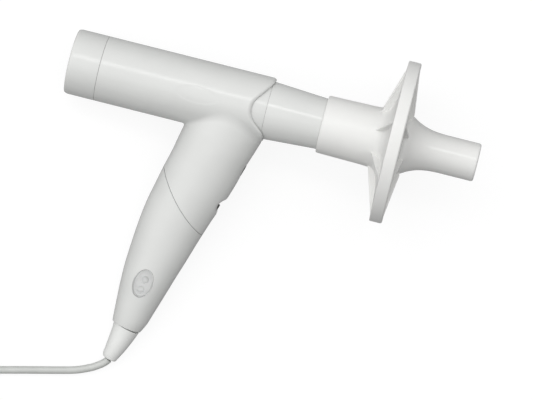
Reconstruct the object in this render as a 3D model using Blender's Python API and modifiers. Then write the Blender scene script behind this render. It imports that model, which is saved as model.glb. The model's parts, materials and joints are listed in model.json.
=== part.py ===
"""Hand-held spirometer with a bacterial filter, lying on its side on a table.

The device is drawn in its own frame, in millimetres: x runs along the air tube from the rear
opening to the mouthpiece, the handle points to -y, and z is the side that faces up. One empty,
rest_pose, lays the whole device down on the table, on its rear ring, its filter rim and its
handle. The data cord lies on the table and is drawn in table coordinates.
"""
import math

import bmesh
import bpy
from mathutils import Matrix, Vector

MM = 0.001
GAP = 0.3
WALL = 2.4

# The rest pose: nose up by TILT, handle down by ROLL, origin under the middle of its box.
REAR_RADIUS = 23.1
RIM_RADIUS = 57.4
RIM_REAR = 228.2
RIM_FRONT = 237.5
REAR_FOOT = 2.6
RIM_FOOT = 228.7
TILT = math.atan2(RIM_RADIUS - REAR_RADIUS, RIM_FOOT - REAR_FOOT)
ROLL = math.radians(8.05)
REST_X = -143.47
REST_Y = 70.4
REST_Z = REAR_RADIUS * math.cos(TILT) - REAR_FOOT * math.sin(TILT)

# The air line, as radii and places along x.
BARREL_REAR = 21.85
BARREL_FRONT = 142.0
BARREL_BORE = 19.6
SEAT_BORE = 21.1
SEAT_REAR = 124.0
SLEEVE_RADIUS = 17.2
AIR_BORE = 14.5
TUBE_REAR = 36.0
TUBE_SHOULDER = 141.15
TUBE_SHOULDER_RADIUS = 20.5
TUBE_FRONT = 204.3
TUBE_FRONT_RADIUS = 16.5
COLLAR_REAR = 180.5
PORT_END = 291.6
PORT_RADIUS = 13.5
PORT_BORE = 11.6
STEPS = 36
# The bores are turned by a part of a step, so their edges stay clear of the tap holes.
BORE_TURN = math.radians(3.1)

# The filter's ribs, the same count on both faces.
RIBS = 8
RIB_TURN = math.radians(2.0 + 22.5)
RIB_THICKNESS = 1.3

# The pressure taps, one on each side of the plate pack.
TAP_PLACES = (94.5, 118.5)
PACK_REAR = 98.0
PACK_FRONT = 115.0
PLATES = 8
PLATE_PITCH = 2.9
PLATE_THICKNESS = 0.5

# The scalloped front edge of the housing: an arc and its two tangent lines.
SCALLOP_X = 129.1
SCALLOP_Y = 3.0
SCALLOP_RADIUS = 10.0
SCALLOP_UPPER = math.radians(38.0)
SCALLOP_LOWER = math.radians(45.0)

# The curved seam between the housing and the lower handle.
SEAM_X = 202.95
SEAM_Y = 19.5
SEAM_RADIUS = 144.0

# The handle: distance below the axis, rear edge, front edge and half depth of each section.
HANDLE = (
    (6.0, 90.5, 141.5, 19.5),
    (23.3, 87.1, 141.9, 21.4),
    (31.5, 85.3, 139.4, 21.4),
    (43.8, 82.8, 135.3, 21.2),
    (55.0, 79.9, 132.4, 20.8),
    (68.3, 76.9, 128.1, 20.2),
    (83.8, 73.9, 122.4, 19.3),
    (100.4, 72.0, 117.0, 18.4),
    (118.1, 70.7, 111.6, 17.3),
    (129.5, 70.2, 108.0, 16.5),
    (142.8, 70.2, 103.5, 15.4),
    (159.5, 71.0, 98.2, 13.2),
    (169.7, 71.5, 94.6, 11.2),
    (174.7, 72.6, 91.2, 9.4),
)
CAVITY_TOP = 24.0
CAVITY_END = 170.3

# The strain relief boot, in the same numbers and how much lower each section's front lies.
BOOT = (
    (175.4, 72.2, 91.2, 9.5, 1.0),
    (179.5, 71.4, 89.5, 8.9, 1.2),
    (185.6, 70.7, 86.6, 7.9, 1.5),
    (191.8, 70.3, 83.4, 6.6, 1.8),
    (196.4, 70.1, 80.9, 5.4, 2.1),
    (198.9, 70.6, 79.4, 4.5, 2.1),
)
BOOT_X = 82.0

# Turns a peg that is drawn upright to point away from the air axis, down the handle.
DOWN = (math.radians(90.0), 0.0, 0.0)

# The handle's own line: its inner parts are placed along it.
LINE_X = 106.0
LINE_Y = -54.0
LINE_TURN = math.radians(-11.84)

# The frame's stands, the sensor's two ports and the wall behind the controls.
STANDS = ((-8.5, -12.0), (5.0, -12.0), (-5.5, -92.0), (5.5, -92.0))
SENSOR_PORT = 3.0
WALL_TURN = math.radians(-18.0)
WALL_SHIFT = -0.6
WALL_BEHIND = 1.6

# Controls on the front edge: place, direction of the surface and size.
BUTTON_PLACE = (134.9, -45.9)
BUTTON_TURN = math.radians(-16.8)
BUTTON_LENGTH = 10.0
BUTTON_WIDTH = 6.0
LATCH_PLACE = (125.6, -77.1)
LATCH_TURN = math.radians(-20.9)
LATCH_LENGTH = 7.0
LATCH_WIDTH = 8.0
BUTTON_INSIDE = -3.7
LATCH_INSIDE = -4.9
FLANGE = 1.4
SPRING_RADIUS = 1.8
SPRING_END = -12.0
SPRING_TOP = FLANGE + 0.6
SCOOP_RADIUS = 8.0
SCOOP_DEPTH = 2.2
SCOOP_WALL = 2.2
BUTTON = (BUTTON_PLACE, BUTTON_TURN, BUTTON_LENGTH, BUTTON_WIDTH)
LATCH = (LATCH_PLACE, LATCH_TURN, LATCH_LENGTH, LATCH_WIDTH)

# The clear oval over the status light.
LENS_PLACE = (85.9, -138.0)
LENS_LENGTH = 21.0
LENS_WIDTH = 13.7

# The cord, in table coordinates measured from the foot of the rear opening.
CORD_DIAMETER = 5.4
CORD_ROUTE = (
    (77.2, -197.6, 6.0),
    (75.9, -199.5, 5.3),
    (73.9, -201.5, 4.6),
    (70.9, -203.8, 3.8),
    (66.3, -206.6, 3.0),
    (57.3, -210.4, 2.72),
    (46.0, -213.4, 2.72),
    (25.5, -218.3, 2.72),
    (5.0, -223.3, 2.72),
    (-15.5, -228.3, 2.72),
    (-31.0, -232.1, 2.72),
)
COIL_CENTRE = (-59.6, -202.9)
COIL_MEAN = 29.7
COIL_SIDE = 16.2
COIL_FLOOR = 1.2
TIE_THICKNESS = 0.7
TIE_WIDTH = 9.0
TAIL_ROUTE = (
    (-94.9, -181.8, 2.8),
    (-95.1, -170.0, 3.2),
    (-94.7, -157.0, 4.0),
    (-94.1, -145.1, 4.1),
)
PLUG_PLACE = (-93.0, -129.7, 4.1)
PLUG_TURN = math.radians(86.0)


def start_scene():
    """Empties the scene and makes the two collections."""
    for item in list(bpy.data.objects):
        bpy.data.objects.remove(item, do_unlink=True)
    collections = {}
    for name in ("spirometer", "cutters"):
        collections[name] = bpy.data.collections.new(name)
        bpy.context.scene.collection.children.link(collections[name])
    return collections


COLLECTIONS = start_scene()


def empty(name, parent=None, place=(0.0, 0.0, 0.0), turn=(0.0, 0.0, 0.0)):
    """Adds an empty, placed in millimetres."""
    item = bpy.data.objects.new(name, None)
    item.empty_display_size = 0.01
    item.location = Vector(place) * MM
    item.rotation_euler = turn
    item.parent = parent
    COLLECTIONS["spirometer"].objects.link(item)
    return item


def rest_turn():
    """Returns the angles that lay the device down: roll about its axis, then tilt."""
    return (Matrix.Rotation(-TILT, 3, "Y") @ Matrix.Rotation(ROLL, 3, "X")).to_euler()


TABLE = empty("table", place=(REST_X, REST_Y, 0.0))
DEVICE = empty("rest_pose", TABLE, (0.0, 0.0, REST_Z), rest_turn())
AXIS = empty("air_axis", DEVICE, turn=(0.0, math.radians(90.0), 0.0))
LINE = empty("handle_line", DEVICE, (LINE_X, LINE_Y, 0.0), (0.0, 0.0, LINE_TURN))


def finish(name, colour, roughness, metallic=0.0, transmission=0.0):
    """Makes one Principled material."""
    material = bpy.data.materials.new(name)
    material.use_nodes = True
    shader = material.node_tree.nodes["Principled BSDF"]
    shader.inputs["Base Color"].default_value = (*colour, 1.0)
    shader.inputs["Roughness"].default_value = roughness
    shader.inputs["Metallic"].default_value = metallic
    shader.inputs["Transmission Weight"].default_value = transmission
    return material


HOUSING = finish("housing_abs", (0.68, 0.68, 0.66), 0.3)
FILTER = finish("filter_polypropylene", (0.8, 0.8, 0.79), 0.35)
MEDIUM = finish("filter_fleece", (0.85, 0.85, 0.84), 0.9)
SEAL = finish("seal_silicone", (0.35, 0.35, 0.36), 0.6)
CONTROL = finish("control_grey", (0.2, 0.2, 0.2), 0.4)
CLEAR = finish("clear_polycarbonate", (0.9, 0.9, 0.9), 0.05, 0.0, 0.9)
BOARD = finish("board_laminate", (0.03, 0.2, 0.08), 0.5)
CHIP = finish("chip_resin", (0.03, 0.03, 0.03), 0.5)
STEEL = finish("steel", (0.6, 0.6, 0.6), 0.3, 1.0)
PLATE = finish("plate_steel", (0.5, 0.5, 0.52), 0.25, 1.0)
CORD = finish("cord_pvc", (0.5, 0.51, 0.5), 0.45)


def add(name, mesh, material=None, parent=DEVICE, place=(0, 0, 0), turn=(0, 0, 0)):
    """Adds an object: with a material it is a part, without one it is a cutter."""
    item = bpy.data.objects.new(name, mesh)
    item.parent = parent
    item.location = Vector(place) * MM
    item.rotation_euler = turn
    if material is None:
        COLLECTIONS["cutters"].objects.link(item)
        item.hide_render = True
        item.display_type = "WIRE"
    else:
        COLLECTIONS["spirometer"].objects.link(item)
        mesh.materials.append(material)
    return item


def turned(name, profile, material=None, parent=AXIS, steps=STEPS, place=(0, 0, 0), turn=(0, 0, 0)):
    """Turns a profile of (radius, height) about the parent's Z axis.

    The profile runs down the outer side. One that starts on the axis ends on it; any other
    closes on itself.
    """
    mesh = bpy.data.meshes.new(name)
    points = [(radius * MM, 0.0, height * MM) for radius, height in profile]
    edges = [(i, i + 1) for i in range(len(points) - 1)]
    if profile[0][0] > 0.0:
        edges.append((len(points) - 1, 0))
    mesh.from_pydata(points, edges, [])
    item = add(name, mesh, material, parent, place, turn)
    screw = item.modifiers.new("turn", "SCREW")
    screw.steps = steps
    screw.render_steps = steps
    screw.use_merge_vertices = True
    screw.merge_threshold = 0.000001
    return item


def ring(name, centre, height, section, material, parent=AXIS, sides=5, steps=20):
    """Turns a round section into an O-ring."""
    profile = []
    for i in range(sides):
        angle = 2.0 * math.pi * i / sides
        profile.append((centre + section * math.sin(angle), height + section * math.cos(angle)))
    return turned(name, profile, material, parent, steps)


def curve_mesh(name, curve):
    """Turns a curve into a closed mesh, with its caps welded."""
    item = bpy.data.objects.new(name, curve)
    COLLECTIONS["cutters"].objects.link(item)
    bpy.context.view_layer.update()
    graph = bpy.context.evaluated_depsgraph_get()
    mesh = bpy.data.meshes.new_from_object(item.evaluated_get(graph))
    bpy.data.objects.remove(item)
    shape = bmesh.new()
    shape.from_mesh(mesh)
    bmesh.ops.remove_doubles(shape, verts=shape.verts, dist=0.000001)
    shape.to_mesh(mesh)
    shape.free()
    mesh.name = name
    return mesh


def outline_mesh(name, outline, thickness):
    """Extrudes a flat outline of (x, y) to both sides of its plane."""
    curve = bpy.data.curves.new(name, "CURVE")
    curve.dimensions = "2D"
    curve.fill_mode = "BOTH"
    curve.extrude = thickness * MM / 2.0
    spline = curve.splines.new("POLY")
    spline.points.add(len(outline) - 1)
    for point, (x, y) in zip(spline.points, outline):
        point.co = (x * MM, y * MM, 0.0, 1.0)
    spline.use_cyclic_u = True
    return curve_mesh(name, curve)


def slab(name, outline, low, high, material=None, parent=DEVICE, place=(0, 0, 0), turn=(0, 0, 0)):
    """Adds a flat piece of this outline between two heights of its own z."""
    mesh = outline_mesh(name, outline, high - low)
    mesh.transform(Matrix.Translation((0.0, 0.0, (low + high) / 2.0 * MM)))
    return add(name, mesh, material, parent, place, turn)


def wire(name, route, diameter, material, parent=DEVICE, resolution=2):
    """Sweeps a round section along a smooth curve through the route's points."""
    curve = bpy.data.curves.new(name, "CURVE")
    curve.dimensions = "3D"
    curve.bevel_depth = diameter * MM / 2.0
    curve.bevel_resolution = resolution
    curve.use_fill_caps = True
    spline = curve.splines.new("POLY")
    spline.points.add(len(route) - 1)
    for point, place in zip(spline.points, route):
        point.co = (*(Vector(place) * MM), 1.0)
    return add(name, curve_mesh(name, curve), material, parent)


def smooth(route, pieces):
    """Reads a smooth curve through the points, so many pieces for each span."""
    points = [Vector(point) for point in route]
    points = [2 * points[0] - points[1], *points, 2 * points[-1] - points[-2]]
    result = []
    for before, start, end, after in zip(points, points[1:], points[2:], points[3:]):
        for i in range(pieces):
            t = i / pieces
            result.append(0.5 * (2 * start + (end - before) * t
                                 + (2 * before - 5 * start + 4 * end - after) * t ** 2
                                 + (3 * start - before - 3 * end + after) * t ** 3))
    return [*result, Vector(route[-1])]


def loft(name, sections, inset=0.0, material=None, sides=32):
    """Skins a row of ellipses: distance below the axis, rear, front, half depth and slant."""
    mesh = bpy.data.meshes.new(name)
    shape = bmesh.new()
    rings = []
    for below, rear, front, depth, *slant in sections:
        drop = slant[0] / 2.0 if slant else 0.0
        centre = (rear + front) / 2.0
        half = (front - rear) / 2.0 - inset
        row = []
        for i in range(sides):
            angle = 2.0 * math.pi * i / sides
            x = centre + half * math.cos(angle)
            z = (depth - inset) * math.sin(angle)
            row.append(shape.verts.new((x * MM, -(below + drop * math.cos(angle)) * MM, z * MM)))
        rings.append(row)
    for upper, lower in zip(rings, rings[1:]):
        for i in range(sides):
            j = (i + 1) % sides
            shape.faces.new((upper[i], upper[j], lower[j], lower[i]))
    shape.faces.new(rings[0][::-1])
    shape.faces.new(rings[-1])
    bmesh.ops.recalc_face_normals(shape, faces=shape.faces)
    shape.to_mesh(mesh)
    shape.free()
    return add(name, mesh, material)


def between(sections, top, end):
    """Cuts a row of sections to the stretch between two distances below the axis."""
    def at(below):
        for first, second in zip(sections, sections[1:]):
            if first[0] <= below <= second[0]:
                share = (below - first[0]) / (second[0] - first[0])
                return tuple(a + (b - a) * share for a, b in zip(first, second))
        return sections[-1]
    return [at(top), *(row for row in sections if top + 1.0 < row[0] < end - 1.0), at(end)]


def combine(target, other, operation="DIFFERENCE"):
    """Adds a Boolean to the target."""
    modifier = target.modifiers.new(other.name, "BOOLEAN")
    modifier.operation = operation
    modifier.solver = "EXACT"
    modifier.object = other
    return modifier


def arc(x, y, radius, start, end, count):
    """Lists points along an arc, angles in radians."""
    return [(x + radius * math.cos(start + (end - start) * i / count),
             y + radius * math.sin(start + (end - start) * i / count)) for i in range(count + 1)]


def oval(x, y, length, width, count=28):
    """Lists the points of an ellipse, its length along y."""
    return [(x + width / 2.0 * math.cos(2.0 * math.pi * i / count),
             y + length / 2.0 * math.sin(2.0 * math.pi * i / count)) for i in range(count)]


def stadium(length, width, count=6):
    """Lists the outline of a slot with round ends, its length along y."""
    reach = (length - width) / 2.0
    return [*arc(0.0, reach, width / 2.0, 0.0, math.pi, count),
            *arc(0.0, -reach, width / 2.0, math.pi, 2.0 * math.pi, count)]


def rounded(length, width, corner, count=3):
    """Lists the outline of a rounded rectangle, length along x and width along y."""
    points = []
    for i, (sx, sy) in enumerate(((1, 1), (-1, 1), (-1, -1), (1, -1))):
        x = sx * (length / 2.0 - corner)
        y = sy * (width / 2.0 - corner)
        points += arc(x, y, corner, i * math.pi / 2.0, (i + 1) * math.pi / 2.0, count)
    return points


def scallop_outline():
    """Outlines what is cut away in front of the housing's scalloped edge."""
    centre = SCALLOP_X + SCALLOP_RADIUS
    front = BARREL_FRONT + 1.5
    start = math.pi + SCALLOP_LOWER
    end = math.pi - SCALLOP_UPPER
    points = arc(centre, SCALLOP_Y, SCALLOP_RADIUS, start, end, 12)
    low_x, low_y = points[0]
    high_x, high_y = points[-1]
    points.append((front, high_y + (front - high_x) / math.tan(SCALLOP_UPPER)))
    points.insert(0, (front, low_y - (front - low_x) * math.tan(SCALLOP_LOWER)))
    return points


def disc(name, radius, reach, place, steps):
    """Turns a disc about a line across the handle, reaching this far to both sides."""
    profile = [(0.0, reach), (radius, reach), (radius, -reach), (0.0, -reach)]
    return turned(name, profile, parent=DEVICE, steps=steps, place=place)


def seam_disc(name, radius):
    """Makes the disc whose edge is the curved seam."""
    return disc(name, radius, 30.0, (SEAM_X, SEAM_Y, 0.0), 128)


def peg(name, radius, low, high, place, turn, material=None, steps=20, bore=0.0, parent=DEVICE):
    """Turns a plain round peg, or a tube if it has a bore."""
    profile = [(bore, high), (radius, high), (radius, low), (bore, low)]
    return turned(name, profile, material, parent, steps, place, turn)


def make_housing():
    """The barrel and the upper handle, moulded in one piece."""
    profile = [(0.0, BARREL_FRONT), (21.2, BARREL_FRONT), (22.5, 141.5), (REAR_RADIUS, 140.2),
               (REAR_RADIUS, 22.3), (22.7, BARREL_REAR), (0.0, BARREL_REAR)]
    housing = turned("upper_housing", profile, HOUSING)
    grip = loft("upper_grip", between(HANDLE, 6.0, 118.1))
    combine(grip, seam_disc("upper_seam", SEAM_RADIUS - GAP / 2.0), "INTERSECT")
    combine(housing, grip, "UNION")
    bore = turned("barrel_bore", [(0.0, 146.0), (SEAT_BORE, 146.0), (SEAT_BORE, SEAT_REAR),
                                  (BARREL_BORE, SEAT_REAR), (BARREL_BORE, 15.0), (0.0, 15.0)],
                  turn=(0.0, 0.0, BORE_TURN))
    combine(housing, bore)
    cavity = loft("upper_cavity", between(HANDLE, CAVITY_TOP, 118.1), WALL)
    combine(cavity, disc("scoop_backing", SCOOP_RADIUS + SCOOP_WALL, 14.0, scoop_place(), 32))
    combine(housing, cavity)
    combine(housing, slab("scallop", scallop_outline(), -30.0, 30.0))
    for i, place in enumerate(TAP_PLACES):
        hole = peg(f"tap_hole_{i}", 2.3, 15.0, 28.0, (place, 0.0, 0.0), DOWN)
        combine(housing, hole)
    combine(housing, control_hole("button_hole", *BUTTON))
    combine(housing, disc("scoop", SCOOP_RADIUS, 30.0, scoop_place(), 40))
    combine(housing, control_hole("latch_hole", *LATCH))
    return housing


def scoop_place():
    """Puts the scoop's centre in front of the latch."""
    reach = SCOOP_RADIUS - SCOOP_DEPTH
    x, y = LATCH_PLACE
    return (x + reach * math.cos(LATCH_TURN), y + reach * math.sin(LATCH_TURN), 0.0)


def control_turn(angle):
    """Points local z outwards through the front edge, with local y along the edge."""
    outward = Vector((math.cos(angle), math.sin(angle), 0.0))
    along = Vector((-math.sin(angle), math.cos(angle), 0.0))
    across = along.cross(outward)
    return Matrix((across, along, outward)).transposed().to_euler()


def control_outline(length, width):
    """Outlines a control that is rounded along its longer side."""
    if length > width:
        return stadium(length, width)
    return [(y, x) for x, y in reversed(stadium(width, length))]


def control_hole(name, place, angle, length, width):
    """Cuts the hole of a control through the front wall."""
    outline = control_outline(length + 2.0 * GAP, width + 2.0 * GAP)
    return slab(name, outline, -8.0, 8.0, place=(*place, 0.0), turn=control_turn(angle))


def make_control(name, place, angle, length, width, top, inside):
    """A pressed control: a cap through the wall and a flange that keeps it in."""
    centre = (*place, 0.0)
    turn = control_turn(angle)
    cap = slab(name, control_outline(length, width), inside - 0.5, top, CONTROL, place=centre, turn=turn)
    flange = slab(f"{name}_flange", control_outline(length + 3.0, width + 3.0), inside - FLANGE, inside,
                  place=centre, turn=turn)
    combine(cap, flange, "UNION")
    return cap


def spring_route(radius, low, high, turns, per_turn=9):
    """Lists the points of a coil spring along z."""
    count = turns * per_turn
    step = 2.0 * math.pi / per_turn
    return [(radius * math.cos(step * i), radius * math.sin(step * i), low + (high - low) * i / count)
            for i in range(count + 1)]


def make_spring(name, place, angle, high):
    """A spring behind a control, from the control wall up to this height."""
    spring = wire(name, spring_route(SPRING_RADIUS, SPRING_END, high, 3), 0.5, STEEL, resolution=0)
    spring.location = Vector((*place, 0.0)) * MM
    spring.rotation_euler = control_turn(angle)
    return spring


def make_lower_handle():
    """The lower handle shell, below the curved seam."""
    shell = loft("lower_handle", between(HANDLE, 50.0, 174.7), material=HOUSING)
    combine(shell, seam_disc("lower_seam", SEAM_RADIUS + GAP / 2.0))
    combine(shell, loft("lower_cavity", between(HANDLE, 40.0, CAVITY_END), WALL))
    opening = oval(*LENS_PLACE, LENS_LENGTH + 2.0 * GAP, LENS_WIDTH + 2.0 * GAP)
    combine(shell, slab("lens_hole", opening, 4.0, 25.0))
    combine(shell, peg("boot_hole", 6.0 + GAP, 160.0, 190.0, (BOOT_X, 0.0, 0.0), DOWN))
    return shell


def make_lens():
    """The clear oval window, flush with the shell."""
    lens = loft("status_lens", between(HANDLE, 125.0, 156.0), material=CLEAR)
    shape = slab("lens_shape", oval(*LENS_PLACE, LENS_LENGTH, LENS_WIDTH), 10.2, 25.0)
    combine(lens, shape, "INTERSECT")
    return lens


def make_boot():
    """The strain relief, with the neck and flange that hold it in the handle."""
    boot = loft("strain_relief", BOOT, material=CORD, sides=28)
    place = (BOOT_X, 0.0, 0.0)
    combine(boot, peg("boot_neck", 6.0, 169.4, 177.0, place, DOWN), "UNION")
    combine(boot, peg("boot_flange", 7.4, 167.0, 170.0, place, DOWN), "UNION")
    return boot


def make_air_line():
    """The rear ring, the flow tube with its plate pack, the bush, the collar and the seals."""
    turned("rear_ring", [
        (19.3, 33.0), (19.3, 28.4), (17.9, 28.4), (17.9, 26.0), (19.3, 26.0), (19.3, 21.55), (22.8, 21.55),
        (REAR_RADIUS, 21.2), (REAR_RADIUS, REAR_FOOT), (22.7, 0.9), (22.2, 0.0), (20.9, 0.0), (20.4, 1.2),
        (20.0, 17.0), (16.5, 24.0), (16.5, 33.0)], HOUSING)
    ring("rear_ring_seal", 18.7, 27.2, 0.58, SEAL)
    turned("rear_bush", [(19.3, 52.0), (19.3, 46.0), (17.5, 46.0), (17.5, 52.0)], CONTROL, steps=20)
    turned("nose_collar", [(20.5, 140.85), (20.8, 124.3), (17.5, 124.3), (17.5, 129.0), (19.4, 129.0),
                           (19.4, 131.4), (17.5, 131.4), (17.5, 140.85)], HOUSING)
    ring("nose_seal", 18.4, 130.2, 0.78, SEAL)
    tube = turned("flow_tube", [
        (TUBE_FRONT_RADIUS - 0.4, TUBE_FRONT), (TUBE_FRONT_RADIUS, TUBE_FRONT - 0.5),
        (TUBE_SHOULDER_RADIUS, TUBE_SHOULDER), (SLEEVE_RADIUS, TUBE_SHOULDER),
        (SLEEVE_RADIUS, TUBE_REAR + 0.6), (SLEEVE_RADIUS - 0.6, TUBE_REAR), (AIR_BORE + 0.6, TUBE_REAR),
        (AIR_BORE, TUBE_REAR + 1.5), (AIR_BORE, TUBE_FRONT)], HOUSING, turn=(0.0, 0.0, BORE_TURN))
    for i, place in enumerate(TAP_PLACES):
        hole = peg(f"tube_tap_{i}", 1.2, 10.0, 20.0, (place, 0.0, 0.0), DOWN, steps=12)
        combine(tube, hole)
    make_plate_pack()


def make_plate_pack():
    """The laminar flow element: parallel plates across a thin carrier ring."""
    carrier = [(14.2, PACK_FRONT), (14.2, PACK_REAR), (13.2, PACK_REAR), (13.2, PACK_FRONT)]
    pack = turned("flow_element", carrier, PLATE, steps=28)
    rear = PACK_REAR + 1.0
    front = PACK_FRONT - 1.0
    for i in range(PLATES):
        y = (i - (PLATES - 1) / 2.0) * PLATE_PITCH
        half = math.sqrt(13.7 ** 2 - y ** 2)
        outline = [(rear, -half), (front, -half), (front, half), (rear, half)]
        plate = slab(f"plate_{i}", outline, y - PLATE_THICKNESS / 2.0, y + PLATE_THICKNESS / 2.0,
                     turn=(math.radians(-90.0), 0.0, 0.0))
        combine(pack, plate, "UNION")
    return pack


def make_taps():
    """The port block below the tube, its two seals and the hoses to the sensor."""
    block = slab("port_block", rounded(30.0, 8.0, 2.0), -28.6, -24.3, HOUSING, place=(106.5, 0.0, 0.0),
                 turn=(math.radians(-90.0), 0.0, 0.0))
    for i, place in enumerate(TAP_PLACES):
        centre = (place, 0.0, 0.0)
        combine(block, peg(f"nipple_{i}", 2.0, 19.7, 34.0, centre, DOWN, steps=14), "UNION")
        combine(block, peg(f"nipple_bore_{i}", 1.0, 15.0, 38.0, centre, DOWN, steps=10))
        peg(f"tap_seal_{('rear', 'front')[i]}", 2.6, 17.5, 19.2, centre, DOWN, SEAL, 14, 1.2)
    return block


def ribs(name, outline):
    """Spaces thin ribs of this (radius, x) outline evenly round the air axis."""
    mesh = outline_mesh(name, outline, RIB_THICKNESS)
    shape = bmesh.new()
    shape.from_mesh(mesh)
    upright = Matrix.Rotation(math.radians(90.0), 3, "X")
    bmesh.ops.rotate(shape, verts=shape.verts, cent=(0, 0, 0), matrix=upright)
    bmesh.ops.rotate(shape, verts=shape.verts, cent=(0, 0, 0), matrix=Matrix.Rotation(RIB_TURN, 3, "Z"))
    rib = shape.verts[:] + shape.edges[:] + shape.faces[:]
    bmesh.ops.spin(shape, geom=rib, cent=(0, 0, 0), axis=(0, 0, 1), steps=RIBS - 1, use_duplicate=True,
                   angle=2.0 * math.pi * (RIBS - 1) / RIBS)
    shape.to_mesh(mesh)
    shape.free()
    return add(name, mesh, parent=AXIS)


def make_filter():
    """The bacterial filter: two welded halves with the medium between them."""
    rear = turned("filter_rear_half", [
        (56.9, RIM_FRONT), (RIM_RADIUS, 237.0), (RIM_RADIUS, RIM_FOOT), (56.9, RIM_REAR), (40.0, 226.4),
        (28.5, 223.6), (23.6, 220.4), (21.4, 217.0), (20.8, 213.0), (20.1, 181.6), (19.6, COLLAR_REAR),
        (18.5, COLLAR_REAR), (16.9, 204.6), (14.8, 204.6), (14.8, 206.8), (18.8, 209.0), (19.3, 217.6),
        (21.8, 222.4), (28.0, 225.8), (40.0, 228.6), (50.5, 230.3), (50.5, 231.3), (54.8, 231.3),
        (54.8, RIM_FRONT)], FILTER)
    rear_rib = [(22.0, 220.3), (53.5, 227.9), (53.5, 228.6), (40.0, 227.4), (28.0, 224.5), (22.4, 221.4)]
    combine(rear, ribs("rear_ribs", rear_rib), "UNION")
    front = turned("filter_front_half", [
        (13.1, PORT_END), (PORT_RADIUS, 291.0), (PORT_RADIUS, 265.0), (14.0, 257.6), (15.5, 251.0),
        (18.0, 245.2), (20.6, 241.2), (21.4, 238.0), (30.0, 237.2), (54.5, 236.3), (54.5, 233.5),
        (51.6, 233.5), (51.6, 234.5), (30.0, 235.4), (20.0, 236.4), (18.4, 240.2), (15.6, 246.0),
        (13.2, 252.6),
        (PORT_BORE, 264.0), (PORT_BORE, 291.2), (11.9, PORT_END)], FILTER)
    front_rib = [(20.2, 241.0), (22.6, 241.3), (53.6, 237.5), (53.8, 235.6), (30.0, 236.0), (20.2, 237.0)]
    combine(front, ribs("front_ribs", front_rib), "UNION")
    turned("filter_medium", [(0.0, 233.2), (53.6, 233.2), (53.6, 231.6), (0.0, 231.6)], MEDIUM, steps=32)


def make_frame():
    """The frame that carries the board, with the wall behind the two controls and its screws."""
    outline = [(-13.0, -3.0), (-13.0, -70.0), (-7.8, -97.0), (7.8, -97.0), (12.0, -70.0), (13.0, -3.0)]
    frame = slab("handle_frame", outline, -7.0, -5.2, CONTROL, LINE)
    window = slab("frame_window", rounded(14.0, 36.0, 3.0), -9.0, -3.0, None, LINE, (0.0, -50.0, 0.0))
    combine(frame, window)
    along = (control_turn(WALL_TURN).to_matrix() @ Matrix.Rotation(math.radians(90.0), 3, "Z")).to_euler()
    wall = slab("control_wall", rounded(40.0, 12.0, 1.0), -0.8, 0.8, place=wall_place(), turn=along)
    combine(frame, wall, "UNION")
    for i, (x, y) in enumerate(STANDS):
        combine(frame, stand_peg(f"stand_{i}", 2.2, -6.0, -2.7, x, y), "UNION")
        combine(frame, stand_peg(f"stand_bore_{i}", 1.2, -9.0, -1.0, x, y, steps=8))
        screw = stand_peg(f"frame_screw_{i + 1}", 2.0, -0.5, 0.9, x, y, STEEL)
        combine(screw, stand_peg(f"shank_{i}", 0.9, -6.5, 0.0, x, y), "UNION")


def stand_peg(name, radius, low, high, x, y, material=None, steps=10):
    """Turns a peg on one of the frame's stands."""
    return peg(name, radius, low, high, (x, y, 0.0), (0, 0, 0), material, steps, parent=LINE)


def wall_place():
    """Puts the control wall behind the two springs' inner ends, midway between them."""
    middle = Vector((0.0, 0.0))
    for place, angle, *_ in (BUTTON, LATCH):
        middle += (Vector(place) + Vector((math.cos(angle), math.sin(angle))) * SPRING_END) / 2.0
    outward = Vector((math.cos(WALL_TURN), math.sin(WALL_TURN)))
    return (*(middle - outward * WALL_BEHIND), WALL_SHIFT)


def make_electronics():
    """The board and what is soldered to it, along the handle's line."""
    outline = [(-11.0, -9.0), (-11.0, -70.0), (-8.0, -97.0), (8.0, -97.0), (11.0, -70.0), (11.0, -36.0),
               (8.0, -30.0), (8.0, -9.0)]
    board = slab("circuit_board", outline, -2.4, -0.8, BOARD, LINE)
    for i, (x, y) in enumerate(STANDS):
        combine(board, stand_peg(f"board_hole_{i}", 1.2, -4.0, 1.0, x, y))
    sensor = slab("pressure_sensor", rounded(12.0, 12.0, 1.0), -0.5, 4.5, CHIP, LINE, (0.0, -23.0, 0.0))
    for i, x in enumerate((-SENSOR_PORT, SENSOR_PORT)):
        port = peg(f"sensor_port_{i}", 1.2, 4.0, 9.0, (x, -23.0, 0.0), (0, 0, 0), steps=12, parent=LINE)
        combine(sensor, port, "UNION")
    slab("processor_chip", rounded(9.0, 9.0, 0.4), -0.5, 0.9, CHIP, LINE, (0.0, -44.0, 0.0))
    slab("board_connector", rounded(12.0, 7.0, 0.5), -0.5, 5.0, FILTER, LINE, (2.0, -66.0, 0.0))
    slab("status_light", rounded(3.0, 3.0, 0.4), -0.5, 1.2, CLEAR, LINE, (-2.0, -86.3, 0.0))
    peg("light_guide", 2.6, 1.5, 9.9, (-2.0, -86.3, 0.0), (0, 0, 0), CLEAR, parent=LINE)


def on_line(x, y, z):
    """Turns a place along the handle's line into one of the device."""
    cosine = math.cos(LINE_TURN)
    sine = math.sin(LINE_TURN)
    return (LINE_X + x * cosine - y * sine, LINE_Y + x * sine + y * cosine, z)


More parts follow.
